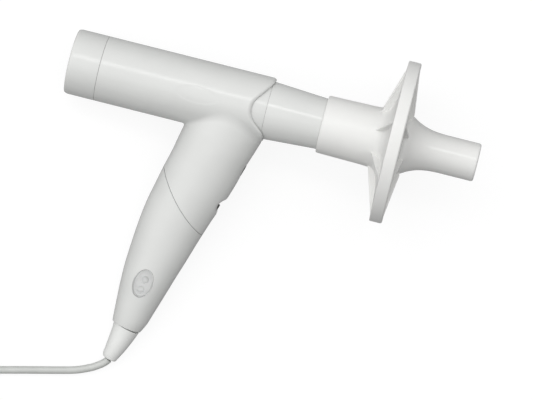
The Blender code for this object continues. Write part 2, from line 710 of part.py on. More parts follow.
def make_leads():
    """The two hoses from the taps to the sensor, and the lead from the boot to the board."""
    rear = on_line(-SENSOR_PORT, -23.0, 9.3)
    front = on_line(SENSOR_PORT, -23.0, 9.3)
    hoses = {
        "pressure_hose_rear": [(TAP_PLACES[0], -34.4, 0.0), (TAP_PLACES[0], -39.0, 0.3), (95.0, -52.0, 5.0),
                               (96.6, -64.0, 11.0), (rear[0] - 0.5, rear[1] + 4.0, 14.2),
                               (rear[0], rear[1] + 0.4, 12.6), rear],
        "pressure_hose_front": [(TAP_PLACES[1], -34.4, 0.0), (TAP_PLACES[1], -39.0, 0.3),
                                (113.0, -52.0, 5.0), (107.6, -65.0, 11.0),
                                (front[0] + 0.6, front[1] + 4.0, 14.2),
                                (front[0], front[1] + 0.4, 12.6), front],
    }
    for name, route in hoses.items():
        wire(name, smooth(route, 3), 3.4, SEAL, resolution=1)
    start = on_line(2.0, -69.9, 2.3)
    route = [start, (93.0, -130.0, 3.4), (92.0, -140.0, 4.6), (88.6, -153.0, 3.2), (83.2, -161.0, 0.8),
             (82.4, -166.1, 0.0)]
    wire("inner_lead", smooth(route, 3), 3.0, CORD, resolution=1)


def make_cord():
    """The data cord: the run on the table, the coil and its tie, the tail and the plug."""
    wire("cord_run", smooth(CORD_ROUTE, 2), CORD_DIAMETER, CORD, TABLE)
    inner = COIL_MEAN - COIL_SIDE / 2.0
    outer = COIL_MEAN + COIL_SIDE / 2.0
    top = COIL_FLOOR + COIL_SIDE
    edge = 1.5
    floor = COIL_FLOOR
    section = [(outer - edge, top), (outer, top - edge), (outer, floor + edge), (outer - edge, floor),
               (inner + edge, floor), (inner, floor + edge), (inner, top - edge), (inner + edge, top)]
    turned("cord_coil", section, CORD, TABLE, 28, (*COIL_CENTRE, 0.0))
    upright = (0.0, math.radians(90.0), 0.0)
    place = (COIL_CENTRE[0], COIL_CENTRE[1] + COIL_MEAN, COIL_FLOOR + COIL_SIDE / 2.0)
    high = COIL_SIDE + 0.8
    wide = COIL_SIDE + 1.8
    band = rounded(high + 2.0 * TIE_THICKNESS, wide + 2.0 * TIE_THICKNESS, 2.0)
    tie = slab("cord_tie", band, -TIE_WIDTH / 2.0, TIE_WIDTH / 2.0, SEAL, TABLE, place, upright)
    space = slab("tie_space", rounded(high, wide, 1.3), -TIE_WIDTH, TIE_WIDTH, None, TABLE, place, upright)
    combine(tie, space)
    wire("cord_tail", smooth(TAIL_ROUTE, 3), CORD_DIAMETER, CORD, TABLE)
    turn = (0.0, 0.0, PLUG_TURN)
    body = slab("plug_body", rounded(30.0, 16.0, 3.0), -4.0, 4.0, CORD, TABLE, PLUG_PLACE, turn)
    bevel = body.modifiers.new("edge", "BEVEL")
    bevel.width = 0.6 * MM
    bevel.segments = 2
    place = plug_point(22.3)
    shell = slab("plug_shell", rounded(14.0, 12.0, 0.6), -2.25, 2.25, STEEL, TABLE, place, turn)
    deeper = plug_point(24.3)
    hollow = slab("plug_hollow", rounded(14.0, 11.2, 0.4), -1.85, 1.85, None, TABLE, deeper, turn)
    combine(shell, hollow)


def plug_point(reach):
    """Returns a place along the plug's own line."""
    x, y, z = PLUG_PLACE
    return (x + reach * math.cos(PLUG_TURN), y + reach * math.sin(PLUG_TURN), z)


make_housing()
make_lower_handle()
make_lens()
make_boot()
make_air_line()
make_taps()
make_filter()
make_control("front_button", *BUTTON, -0.4, BUTTON_INSIDE)
make_control("release_latch", *LATCH, -1.6, LATCH_INSIDE)
make_spring("button_spring", BUTTON_PLACE, BUTTON_TURN, BUTTON_INSIDE - SPRING_TOP)
make_spring("latch_spring", LATCH_PLACE, LATCH_TURN, LATCH_INSIDE - SPRING_TOP)
make_frame()
make_electronics()
make_leads()
make_cord()
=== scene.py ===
# %% [markdown]
# # A hand-held spirometer
# A person blows through a round tube. A stack of thin plates in the tube makes the flow smooth, and
# the handle holds the electronics that read the pressure drop along the plates. A disposable filter
# sits on the nose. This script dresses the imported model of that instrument. It keeps within a
# millimetre or two of the model's sizes and adds the fine surfaces, the finishes, the cord, the light
# and the camera.

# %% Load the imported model
import json
import math

import bmesh
import bpy
import numpy as np
from mathutils import Matrix, Vector


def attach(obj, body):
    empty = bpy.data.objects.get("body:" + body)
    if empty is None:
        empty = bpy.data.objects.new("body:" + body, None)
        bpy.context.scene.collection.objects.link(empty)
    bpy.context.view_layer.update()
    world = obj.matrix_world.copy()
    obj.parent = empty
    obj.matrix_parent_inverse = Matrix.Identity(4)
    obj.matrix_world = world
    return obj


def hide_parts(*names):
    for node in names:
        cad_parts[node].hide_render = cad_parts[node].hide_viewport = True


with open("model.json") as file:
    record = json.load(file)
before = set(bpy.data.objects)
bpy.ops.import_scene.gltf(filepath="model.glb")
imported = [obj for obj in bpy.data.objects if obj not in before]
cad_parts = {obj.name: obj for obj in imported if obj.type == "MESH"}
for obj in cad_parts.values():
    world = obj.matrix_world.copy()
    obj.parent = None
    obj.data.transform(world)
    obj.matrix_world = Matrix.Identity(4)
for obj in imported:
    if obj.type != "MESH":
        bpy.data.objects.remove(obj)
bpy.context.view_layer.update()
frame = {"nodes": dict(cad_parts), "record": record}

MM = 0.001
NODES = frame["nodes"]
print("nodes in the frame:", len(NODES))

# %% [markdown]
# ## The device's own axes
# The instrument lies on a table on its rear ring, the rim of its filter and its handle, so nothing
# on it is level. It is far easier to draw it upright in a frame of its own: x along the tube from
# the rear opening to the mouthpiece, the handle towards -y, z out of the side that faces up. One
# matrix then lays every finished mesh down. Its tilt follows from the ring and the rim that the
# device rests on, and its roll lets the handle down onto the table too.

# %% The device frame
BARREL_RADIUS = 23.1
RIM_RADIUS = 57.4
REAR_FOOT = 2.6
RIM_FOOT = 228.7
TILT = math.atan2(RIM_RADIUS - BARREL_RADIUS, RIM_FOOT - REAR_FOOT)
ROLL = math.radians(8.05)
TABLE_ORIGIN = Vector((-143.47, 70.4, 0.0))
REST_HEIGHT = BARREL_RADIUS * math.cos(TILT) - REAR_FOOT * math.sin(TILT)

lay_down = Matrix.Rotation(-TILT, 4, "Y") @ Matrix.Rotation(ROLL, 4, "X")
device = Matrix.Translation((TABLE_ORIGIN + Vector((0.0, 0.0, REST_HEIGHT))) * MM) @ lay_down
print("the tube rises", round(math.degrees(TILT), 2), "degrees towards the mouthpiece")

# %% [markdown]
# ## The camera
# The photograph looks almost straight down, from far away. The tube runs down to the right at 14.2
# degrees, and one pixel covers 0.70 mm at the object. From 2.2 m that is a lens of 212 mm on a
# 36 mm sensor, with no shift.

# %% Camera
IMAGE_WIDTH = 533
PIXEL = 0.70
DISTANCE = 2200.0
SENSOR = 36.0
TUBE_SLOPE = math.radians(14.2)
LOOKED_AT = (155.4, -61.6, 0.0)

towards_camera = Vector((-0.110, -0.002, 0.994)).normalized()
tube_line = device.to_3x3() @ Vector((1.0, 0.0, 0.0))
level = (tube_line - towards_camera * tube_line.dot(towards_camera)).normalized()
right = Matrix.Rotation(TUBE_SLOPE, 3, towards_camera) @ level
up = towards_camera.cross(right)
centre = device @ (Vector(LOOKED_AT) * MM)

camera_data = bpy.data.cameras.new("camera")
camera_data.sensor_width = SENSOR
camera_data.lens = SENSOR / 2.0 * DISTANCE / (IMAGE_WIDTH / 2.0 * PIXEL)
camera = bpy.data.objects.new("camera", camera_data)
bpy.context.scene.collection.objects.link(camera)
turn = Matrix((right, up, towards_camera)).transposed().to_4x4()
camera.matrix_world = Matrix.Translation(centre + towards_camera * DISTANCE * MM) @ turn
bpy.context.scene.camera = camera
print("lens", round(camera_data.lens, 1), "mm")

# %% [markdown]
# ## Small helpers
# A colour is written as the hex value that a paint program shows, and one function turns it into
# the linear value that a shader takes. One more adds a node with its settings and its links, for
# shaders and for Geometry Nodes alike. A third moves a mesh, and a fourth puts a finished mesh into
# the scene.

# %% Helpers


def to_linear(colour):
    """Turns an sRGB hex colour into linear red, green, blue and alpha."""
    parts = [int(colour[i:i + 2], 16) / 255.0 for i in (1, 3, 5)]
    linear = [c / 12.92 if c <= 0.04045 else ((c + 0.055) / 1.055) ** 2.4 for c in parts]
    return (*linear, 1.0)


def add_node(tree, kind, inputs=None, **settings):
    """Adds a node, sets its fields, and sets or links its inputs."""
    node = tree.nodes.new(kind)
    for name, value in settings.items():
        setattr(node, name, value)
    for name, value in (inputs or {}).items():
        if isinstance(value, bpy.types.NodeSocket):
            tree.links.new(value, node.inputs[name])
        else:
            node.inputs[name].default_value = value
    return node


def moved(mesh, matrix):
    """Moves a mesh by a matrix and returns it."""
    mesh.transform(matrix)
    return mesh


def add_piece(name, mesh, material, body, replaces=(), matrix=None, sharp=35.0, shade=None):
    """Puts a mesh drawn in millimetres into the scene, as a piece that rides on a body."""
    mesh.name = name
    mesh.materials.clear()
    mesh.materials.append(material)
    mesh.shade_smooth()
    mesh.set_sharp_from_angle(angle=math.radians(sharp))
    if shade:
        shade(mesh)
    mesh.transform((device if matrix is None else matrix) @ Matrix.Scale(MM, 4))
    piece = bpy.data.objects.new(name, mesh)
    bpy.context.scene.collection.objects.link(piece)
    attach(piece, body)
    if replaces:
        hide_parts(*replaces)
    return piece


# %% [markdown]
# ## The data cord
# A cord is a fixed length of something springy. It leaves the boot of the handle, drops to the
# table and runs out of the picture to the left. The rest of its 1.74 m is put away as for storage:
# nine turns in a bundle three wide and three high, held by a strap, with the plug beside it. The
# points outside the coil are listed one by one and are the same as in the solid model. The coil is a
# rule: each turn lies in one cell of the bundle, and moves over to the next cell in a quarter turn.
# A later turn always moves first, so no turn cuts through its neighbour. A spiral that grows evenly
# would be simpler, but a bundle three high can't be wound that way.

# %% Cord route
CORD = 5.4
CORD_ROUTE = (
    (0.0772, -0.1976, 0.0060),
    (0.0759, -0.1995, 0.0053),
    (0.0739, -0.2015, 0.0046),
    (0.0709, -0.2038, 0.0038),
    (0.0663, -0.2066, 0.0030),
    (0.0573, -0.2104, 0.00272),
    (0.0460, -0.2134, 0.00272),
    (0.0255, -0.2183, 0.00272),
    (0.0050, -0.2233, 0.00272),
    (-0.0155, -0.2283, 0.00272),
    (-0.0310, -0.2321, 0.00272),
)
TAIL_ROUTE = (
    (-0.0948, -0.1920, 0.0136),
    (-0.0950, -0.1810, 0.0092),
    (-0.0951, -0.1700, 0.0052),
    (-0.0949, -0.1580, 0.0040),
    (-0.0945, -0.1500, 0.0041),
    (-0.0941, -0.1451, 0.0041),
)
COIL_CENTRE = (-59.6, -202.9)
COIL_MEAN = 29.7
COIL_FLOOR = 1.2
ENTRY = math.radians(-76.3)
EXIT = math.radians(-180.0)
STEPS_PER_TURN = 48
MOVE = math.radians(90.0)
LAG = math.radians(25.0)
RUN_PIECES = 4
TAIL_PIECES = 5

# The bundle's cells as (steps out from the middle radius, steps up), in the order they are filled.
CELLS = ((1, 0), (0, 0), (-1, 0), (-1, 1), (-1, 2), (0, 2), (0, 1), (1, 1), (1, 2))


def cell_place(cell):
    """Returns the radius and height of a cell of the bundle, in millimetres."""
    outward, upward = cell
    return Vector((COIL_MEAN + outward * CORD, COIL_FLOOR + CORD / 2.0 + upward * CORD))


def coil_points():
    """Lists the coil's points, clockwise from where the run touches it to where the tail leaves."""
    places = [cell_place(cell) for cell in CELLS]
    turns = len(CELLS) - 1
    total = turns * 2.0 * math.pi + (ENTRY - EXIT)
    count = math.ceil(total / (2.0 * math.pi) * STEPS_PER_TURN)
    points = []
    for i in range(count + 1):
        travelled = total * i / count
        place = places[0].copy()
        for j in range(turns):
            end = (j + 1) * 2.0 * math.pi - j * LAG
            share = min(max((travelled - end + MOVE) / MOVE, 0.0), 1.0)
            place += (places[j + 1] - places[j]) * share * share * (3.0 - 2.0 * share)
        angle = ENTRY - travelled
        points.append(Vector((COIL_CENTRE[0] + place.x * math.cos(angle),
                              COIL_CENTRE[1] + place.x * math.sin(angle), place.y)) * MM)
    return points


def smooth(route, pieces):
    """Reads a smooth curve through the points, so many pieces for each span."""
    points = [Vector(point) for point in route]
    points = [2 * points[0] - points[1], *points, 2 * points[-1] - points[-2]]
    result = []
    for before, start, end, after in zip(points, points[1:], points[2:], points[3:]):
        for i in range(pieces):
            t = i / pieces
            result.append(0.5 * (2 * start + (end - before) * t
                                 + (2 * before - 5 * start + 4 * end - after) * t ** 2
                                 + (3 * start - before - 3 * end + after) * t ** 3))
    return [*result, points[-2]]


coil = coil_points()
table = Matrix.Translation(TABLE_ORIGIN * MM)
run = smooth([*CORD_ROUTE, coil[0]], RUN_PIECES)
tail = smooth([coil[-1], *TAIL_ROUTE], TAIL_PIECES)
route = [*run[:-1], *coil[:-1], *tail]
route = [table @ point for point in route]

# %% [markdown]
# A curve with a round bevel is the plainest way to a tube of even thickness. It's a POLY spline,
# because the points lie close together already.

# %% Cord tube
cord_curve = bpy.data.curves.new("data_cord", "CURVE")
cord_curve.dimensions = "3D"
cord_curve.bevel_depth = CORD / 2.0 * MM
cord_curve.bevel_resolution = 5
cord_curve.use_fill_caps = True
line = cord_curve.splines.new("POLY")
line.points.add(len(route) - 1)
for point, place in zip(line.points, route):
    point.co = (*place, 1.0)
line.use_smooth = True
data_cord = bpy.data.objects.new("data_cord", cord_curve)
bpy.context.scene.collection.objects.link(data_cord)
print("cord points:", len(line.points))

# %% [markdown]
# ## Moulded plastic
# Nearly everything that shows is injection moulded: white ABS for the body, whiter polypropylene
# for the disposable filter and soft TPE for the boot. The cord's PVC is extruded and looks much the
# same. A moulded skin is never perfectly even. It has a very faint cloudiness from the flow of the
# melt, and a fine "orange peel" that softens what it mirrors. Both are noise on object coordinates,
# with sizes in millimetres. The photograph's barrel is #DADBD9 where the light is plain, and the
# housing's colours are close to that.

# %% Moulded plastic material


def new_material(name):
    """Makes a material, and returns it with its tree, its shader and the object's coordinates."""
    material = bpy.data.materials.new(name)
    material.use_nodes = True
    tree = material.node_tree
    place = add_node(tree, "ShaderNodeTexCoord").outputs["Object"]
    return material, tree, tree.nodes["Principled BSDF"], place


def moulded(name, dark, light, roughness, ior, cloud_mm=28.0, grain_mm=2.4, relief_mm=0.010):
    """Makes a moulded plastic: two close colours in clouds, and a grain in the surface.

    A mould's real grain is too fine for the picture and would turn to specks in it, so the grain is
    drawn coarser than life.
    """
    material, tree, shader, place = new_material(name)
    shader.inputs["IOR"].default_value = ior
    clouds = add_node(tree, "ShaderNodeTexNoise",
                      {"Vector": place, "Scale": 1.0 / (cloud_mm * MM), "Detail": 3.0})
    ramp = add_node(tree, "ShaderNodeValToRGB", {"Fac": clouds.outputs["Fac"]})
    ramp.color_ramp.elements[0].position = 0.35
    ramp.color_ramp.elements[0].color = to_linear(dark)
    ramp.color_ramp.elements[1].position = 0.65
    ramp.color_ramp.elements[1].color = to_linear(light)
    tree.links.new(ramp.outputs["Color"], shader.inputs["Base Color"])
    wear = add_node(tree, "ShaderNodeTexNoise",
                    {"Vector": place, "Scale": 4.0 / (cloud_mm * MM), "Detail": 4.0})
    gloss = add_node(tree, "ShaderNodeMapRange", {"Value": wear.outputs["Fac"], "From Min": 0.3,
                     "From Max": 0.7, "To Min": roughness - 0.03, "To Max": roughness + 0.04})
    tree.links.new(gloss.outputs["Result"], shader.inputs["Roughness"])
    grain = add_node(tree, "ShaderNodeTexNoise",
                     {"Vector": place, "Scale": 1.0 / (grain_mm * MM), "Detail": 2.0})
    bump = add_node(tree, "ShaderNodeBump", {"Height": grain.outputs["Fac"], "Strength": 0.5,
                                             "Distance": relief_mm * MM})
    tree.links.new(bump.outputs["Normal"], shader.inputs["Normal"])
    return material


# Housing, lower shell, rear ring and collar: satin white, with soft highlights.
ABS = moulded("moulded_white_abs", "#DCDDDB", "#DFE0DE", 0.20, 1.54)
# Flow tube: the same plastic from a polished mould, so the lamp shows in it as a finer line.
ABS_POLISHED = moulded("polished_white_abs", "#DDDEDC", "#E0E1DF", 0.11, 1.54, relief_mm=0.004)
# Filter: whiter than the housing. Its front half is polished and its rear half is matt.
POLYPROPYLENE = moulded("moulded_polypropylene", "#ECECEA", "#EFEFED", 0.10, 1.49, relief_mm=0.003)
POLYPROPYLENE_MATT = moulded("matt_polypropylene", "#EBEBE9", "#EEEEEC", 0.36, 1.49, relief_mm=0.003)
# Tray and domes: the brightest white, to show through the window. Part of that white is painted
# light, for the lamp light that the clear cap keeps from them.
TRAY_WHITE_PAINTED_LIGHTER = moulded("moulded_white_polycarbonate_painted_lighter", "#FAFBFA", "#FCFDFC", 0.20, 1.585)
# Boot: soft and dull. Its white is the housing's white painted a step lighter, as painted light
# for the light that it misses low down by the table.
BOOT_TPE_PAINTED_LIGHTER = moulded("moulded_white_tpe_painted_lighter", "#EAEBE9", "#EEEFED", 0.45, 1.50, grain_mm=1.5, relief_mm=0.012)
# Button, latch and plug tongue: dark grey, with a weak sheen.
NYLON = moulded("moulded_dark_nylon", "#3E3F3D", "#464744", 0.42, 1.53)
# Cord: pressed through a die, so smooth and a little shiny. The plug's body is of the same PVC.
CORD_PVC = moulded("extruded_grey_pvc", "#C8CAC7", "#CED0CD", 0.34, 1.53, 9.0, 0.5, 0.006)
# Seals, chips and board: dull grey rubber, black resin and a green varnish with a slight gloss.
SILICONE = moulded("moulded_silicone", "#7E7F80", "#868788", 0.55, 1.41)
RESIN = moulded("moulded_black_epoxy", "#1E1E1F", "#262627", 0.5, 1.55, 6.0, 0.2)
SOLDER_MASK = moulded("green_solder_mask", "#1C5A34", "#226A3E", 0.35, 1.55, 8.0, 0.4)
print("plastics:", len(bpy.data.materials))

# %% [markdown]
# ## Clear, metal and woven finishes
# The window over the status light is clear polycarbonate, which bends light more than water does.
# The springs and screws are plated steel and the plates of the flow element are rolled stainless
# sheet, with fine lines along the roll that draw a highlight out. The filter medium is an electret
# fleece, a mat of short fibres in every direction that looks dull and soft. The strap round the coil
# is woven nylon, dark and dull.

# %% Clear, metal and woven materials


def clear_polycarbonate():
    """Makes polished clear polycarbonate."""
    material, tree, shader, place = new_material("polished_polycarbonate")
    shader.inputs["Base Color"].default_value = to_linear("#FFFFFF")
    shader.inputs["Transmission Weight"].default_value = 1.0
    shader.inputs["IOR"].default_value = 1.585
    wear = add_node(tree, "ShaderNodeTexNoise", {"Vector": place, "Scale": 1.0 / (3.0 * MM)})
    gloss = add_node(tree, "ShaderNodeMapRange",
                     {"Value": wear.outputs["Fac"], "To Min": 0.02, "To Max": 0.07})
    tree.links.new(gloss.outputs["Result"], shader.inputs["Roughness"])
    return material


def drawn_metal(name, colour, roughness, line_mm):
    """Makes a metal with fine lines across it, from drawing or rolling."""
    material, tree, shader, place = new_material(name)
    shader.inputs["Base Color"].default_value = to_linear(colour)
    shader.inputs["Metallic"].default_value = 1.0
    stretched = add_node(tree, "ShaderNodeMapping", {"Vector": place, "Scale": (0.05, 1.0, 1.0)})
    lines = add_node(tree, "ShaderNodeTexNoise", {"Vector": stretched.outputs["Vector"],
                     "Scale": 1.0 / (line_mm * MM), "Detail": 3.0})
    gloss = add_node(tree, "ShaderNodeMapRange", {"Value": lines.outputs["Fac"],
                     "To Min": roughness - 0.08, "To Max": roughness + 0.08})
    tree.links.new(gloss.outputs["Result"], shader.inputs["Roughness"])
    bump = add_node(tree, "ShaderNodeBump", {"Height": lines.outputs["Fac"], "Strength": 0.3,
                                             "Distance": 0.004 * MM})
    tree.links.new(bump.outputs["Normal"], shader.inputs["Normal"])
    return material


def fibres(name, dark, light, pitch_mm):
    """Makes a matt mat or weave of fine threads. At scale 1 a wave texture repeats every 0.3 m."""
    material, tree, shader, place = new_material(name)
    shader.inputs["Roughness"].default_value = 0.9
    shader.inputs["Sheen Weight"].default_value = 0.2
    threads = add_node(tree, "ShaderNodeTexWave", {"Vector": place, "Scale": 0.3 / (pitch_mm * MM),
                       "Distortion": 6.0, "Detail": 3.0, "Detail Scale": 2.0})
    ramp = add_node(tree, "ShaderNodeValToRGB", {"Fac": threads.outputs["Fac"]})
    ramp.color_ramp.elements[0].color = to_linear(dark)
    ramp.color_ramp.elements[1].color = to_linear(light)
    tree.links.new(ramp.outputs["Color"], shader.inputs["Base Color"])
    bump = add_node(tree, "ShaderNodeBump", {"Height": threads.outputs["Fac"], "Strength": 0.6,
                                             "Distance": 0.05 * MM})
    tree.links.new(bump.outputs["Normal"], shader.inputs["Normal"])
    return material


POLYCARBONATE = clear_polycarbonate()
STEEL = drawn_metal("plated_steel", "#C9CBCC", 0.25, 0.15)
STAINLESS = drawn_metal("rolled_stainless", "#B9BABB", 0.30, 0.1)
FLEECE = fibres("electret_fleece", "#E4E4E2", "#F2F2F0", 0.25)
STRAP = fibres("woven_nylon_strap", "#4A4B4B", "#5E5F5F", 0.4)
print("materials:", len(bpy.data.materials))

# %% [markdown]
# ## Turned forms
# The barrel, the rings, the flow tube and the filter are all turned shapes: an outline of radius
# against distance along the tube, carried round the axis. Two small functions do it. `soften` rounds
# each corner of the outline, because a mould leaves no knife edges and a rounded edge is what
# catches the light. `turned` carries the outline round. A third number at a point is that corner's
# own rounding. A Screw modifier with a Bevel would do as well, but it gives every corner one rounding,
# and `skin` is needed for the handle anyway.

# %% Turned forms
ROUND = 192


def whole_turn(count):
    """Lists angles that share out a whole turn."""
    return [2.0 * math.pi * i / count for i in range(count)]


def quarter_turn(steps):
    """Lists angles from zero to a right angle, for rounding an edge."""
    return [math.pi / 2.0 * i / steps for i in range(steps + 1)]


def soften(outline, rounding=0.35, count=4, closed=True):
    """Rounds the corners of an outline. A point may carry a rounding of its own."""
    points = [Vector(point[:2]) for point in outline]
    sizes = [point[2] if len(point) > 2 else rounding for point in outline]
    result = []
    for i, (point, size) in enumerate(zip(points, sizes)):
        ends = (i in (0, len(points) - 1)) and not closed
        before = points[i - 1] - point
        after = points[(i + 1) % len(points)] - point
        size = min(size, before.length * 0.45, after.length * 0.45)
        if ends or size < 0.01:
            result.append(point)
            continue
        start = point + before.normalized() * size
        end = point + after.normalized() * size
        for k in range(count + 1):
            t = k / count
            result.append(start * (1 - t) ** 2 + point * 2 * t * (1 - t) + end * t ** 2)
    return result


def skin(name, rows, close_rows=True, cap=False):
    """Joins rows of points with faces that point outwards. Each row is a loop of as many points."""
    mesh = bpy.data.meshes.new(name)
    shape = bmesh.new()
    loops = [[shape.verts.new(point) for point in row] for row in rows]
    pairs = list(zip(loops, loops[1:]))
    if close_rows:
        pairs.append((loops[-1], loops[0]))
    for first, second in pairs:
        for i in range(len(first)):
            j = (i + 1) % len(first)
            shape.faces.new((first[i], first[j], second[j], second[i]))
    if cap:
        shape.faces.new(loops[0][::-1])
        shape.faces.new(loops[-1])
    bmesh.ops.remove_doubles(shape, verts=shape.verts, dist=0.0005)
    bmesh.ops.recalc_face_normals(shape, faces=shape.faces)
    if shape.calc_volume(signed=True) < 0.0:
        bmesh.ops.reverse_faces(shape, faces=shape.faces)
    shape.to_mesh(mesh)
    shape.free()
    return mesh


def ring_of_points(x, radius, steps=ROUND):
    """Lists the points of a circle about the air axis."""
    return [(x, radius * math.cos(a), radius * math.sin(a)) for a in whole_turn(steps)]


def turned(name, outline, steps=ROUND, closed=True):
    """Carries an outline of (radius, x) round the air axis."""
    rows = [ring_of_points(point[1], max(point[0], 0.0001), steps) for point in outline]
    return skin(name, rows, closed, cap=not closed)


print("faces round a turned form:", ROUND)

# %% [markdown]
# ## The air line
# Rear ring, nose collar and flow tube are white ABS like the housing, and the flow tube is polished.
# The rear ring plugs into the barrel and leaves a fine dark line round it. The collar shows through
# the scallop in the front of the housing, and the flow tube tapers from there to the filter.

# %% Rear ring, nose collar and flow tube
rear_ring = turned("rear_ring_shell", soften([
    (19.3, 33.0), (19.3, 28.4), (17.9, 28.4), (17.9, 26.0), (19.3, 26.0), (19.3, 21.7, 0.1),
    (BARREL_RADIUS, 21.7, 0.2), (BARREL_RADIUS, REAR_FOOT, 0.4), (22.75, 0.9, 1.0), (22.2, 0.0, 0.5),
    (20.9, 0.0, 0.4), (20.4, 1.2, 0.5), (20.0, 17.0, 2.0), (16.5, 24.0, 2.0), (16.5, 33.0)]))
add_piece("rear_ring_shell", rear_ring, ABS, "ring", ["rear_ring"])

nose_collar = turned("nose_collar_shell", soften([
    (20.5, 141.0), (20.8, 124.3), (17.5, 124.3), (17.5, 129.0), (19.4, 129.0), (19.4, 131.4),
    (17.5, 131.4), (17.5, 141.0)], 0.15))
add_piece("nose_collar_shell", nose_collar, ABS, "housing", ["nose_collar"])

flow_tube = turned("flow_tube_shell", soften([
    (16.5, 204.3, 0.5), (20.5, 141.1, 0.15), (17.2, 141.1, 0.2), (17.2, 36.6, 0.3), (16.6, 36.0, 0.2),
    (15.1, 36.0, 0.2), (14.5, 37.5, 0.5), (14.5, 204.3, 0.4)]))
add_piece("flow_tube_shell", flow_tube, ABS_POLISHED, "tube", ["flow_tube"])
print("air line faces:", [len(mesh.polygons) for mesh in (rear_ring, nose_collar, flow_tube)])

# %% [markdown]
# ## The handle's sections
# The handle and its lower shell are one loft: a row of ellipses, each given by its distance below
# the air axis, its rear and front edge and half its depth. Reading the rows through a smooth curve
# gives the surface no corners. Housing, lower shell, cavity and window all read the same curve, so
# they fit each other. A coarse cage under Subdivision Surface would look as smooth, but it shrinks
# away from the sizes that it is given, and a loft passes through them.

# %% Handle sections
HANDLE = (
    (-14.0, 96.0, 136.0, 6.0),
    (-4.0, 93.0, 140.0, 16.5),
    (6.0, 90.5, 141.5, 19.8),
    (23.3, 87.1, 141.9, 21.4),
    (31.5, 85.3, 139.4, 21.4),
    (43.8, 82.8, 135.3, 21.2),
    (55.0, 79.9, 132.4, 20.8),
    (68.3, 76.9, 128.1, 20.2),
    (83.8, 73.6, 122.1, 19.3),
    (100.4, 71.4, 116.4, 18.4),
    (118.1, 69.9, 110.8, 17.2),
    (129.5, 69.2, 107.0, 16.3),
    (142.8, 69.1, 102.8, 15.2),
    (159.5, 69.6, 97.4, 13.0),
    (169.7, 70.0, 93.9, 11.1),
    (174.7, 70.4, 91.3, 9.8),
    (179.5, 70.6, 88.4, 8.9),
)
BOOT = (
    (168.0, 70.9, 93.2, 11.0, 0.0),
    (174.7, 71.3, 90.6, 9.6, 0.6),
    (179.5, 70.9, 88.7, 8.8, 1.1),
    (185.6, 70.3, 86.0, 7.9, 1.5),
    (191.8, 69.6, 82.9, 6.6, 1.8),
    (196.4, 69.0, 80.3, 5.4, 2.1),
    (198.9, 69.6, 79.0, 4.5, 2.1),
)


def sections_at(table_rows, below):
    """Reads centre, half width and half depth at these distances below the axis, smoothly."""
    rows = np.array(table_rows, float)
    at = rows[:, 0]
    values = np.stack([(rows[:, 1] + rows[:, 2]) / 2.0, (rows[:, 2] - rows[:, 1]) / 2.0, rows[:, 3]], 1)
    slopes = np.gradient(values, at, axis=0)
    below = np.clip(np.asarray(below, float), at[0], at[-1])
    i = np.clip(np.searchsorted(at, below) - 1, 0, len(at) - 2)
    span = (at[i + 1] - at[i])[..., None]
    t = ((below - at[i]) / (at[i + 1] - at[i]))[..., None]
    return (values[i] * (2 * t ** 3 - 3 * t ** 2 + 1) + values[i + 1] * (3 * t ** 2 - 2 * t ** 3)
            + slopes[i] * span * (t ** 3 - 2 * t ** 2 + t) + slopes[i + 1] * span * (t ** 3 - t ** 2))


def loft(name, table_rows, top, end, spacing, inset=0.0, sides=144, rounding=0.0):
    """Skins the sections between two distances below the axis, inset by a wall.

    A fifth number in a row is how much lower the section's front lies than its rear.
    """
    count = max(2, round((end - top - rounding) / spacing))
    places = [(below, inset) for below in np.linspace(top, end - rounding, count + 1)]
    for turn in quarter_turn(4)[1:] if rounding else []:
        places.append((end - rounding * (1.0 - math.sin(turn)), inset + rounding * (1.0 - math.cos(turn))))
    slants = np.array([(row[0], row[4] if len(row) > 4 else 0.0) for row in table_rows])
    rows = []
    for below, inward in places:
        middle, half, depth = sections_at(table_rows, below)
        drop = np.interp(below, slants[:, 0], slants[:, 1]) / 2.0
        rows.append([(middle + (half - inward) * math.cos(a), -(below + drop * math.cos(a)),
                      (depth - inward) * math.sin(a)) for a in whole_turn(sides)])
    return skin(name, rows, close_rows=False, cap=True)


print("handle sections:", len(HANDLE), "and boot sections:", len(BOOT))

# %% [markdown]
# ## Cutting one mesh with another
# Holes, bores and the seam are Boolean cuts, as they are in the solid model. The cutter is thrown
# away once the cut is made, and the result is a plain mesh. Drawing each opening into the mesh by hand
# would give tidier faces, but a cutter keeps the whole opening in one outline. A cutter that goes
# right through reaches THROUGH millimetres to each side.

# %% Cutting
THROUGH = 40.0


def as_object(name, mesh):
    """Links a mesh as a bare object, for a modifier to use."""
    item = bpy.data.objects.new(name, mesh)
    bpy.context.scene.collection.objects.link(item)
    return item


def combine(mesh, others, operation="DIFFERENCE"):
    """Cuts or joins meshes and returns the result as a new mesh."""
    target = as_object("target", mesh)
    tools = [as_object("tool", other) for other in others]
    for tool in tools:
        modifier = target.modifiers.new("cut", "BOOLEAN")
        modifier.operation = operation
        modifier.solver = "EXACT"
        modifier.object = tool
    graph = bpy.context.evaluated_depsgraph_get()
    result = bpy.data.meshes.new_from_object(target.evaluated_get(graph))
    for item in (target, *tools):
        bpy.data.objects.remove(item)
    return result


def prism(name, outline, low=-THROUGH, high=THROUGH):
    """Extrudes an outline of (x, y) between two heights."""
    rows = [[(x, y, z) for x, y in outline] for z in (low, high)]
    return skin(name, rows, close_rows=False, cap=True)


def arc(x, y, radius, start, end, count):
    """Lists points along an arc, angles in radians."""
    return [(x + radius * math.cos(start + (end - start) * i / count),
             y + radius * math.sin(start + (end - start) * i / count)) for i in range(count + 1)]


def stadium(length, width, count=12):
    """Outlines a slot with round ends, its length along y."""
    reach = (length - width) / 2.0
    return [*arc(0.0, reach, width / 2.0, 0.0, math.pi, count),
            *arc(0.0, -reach, width / 2.0, math.pi, 2.0 * math.pi, count)]


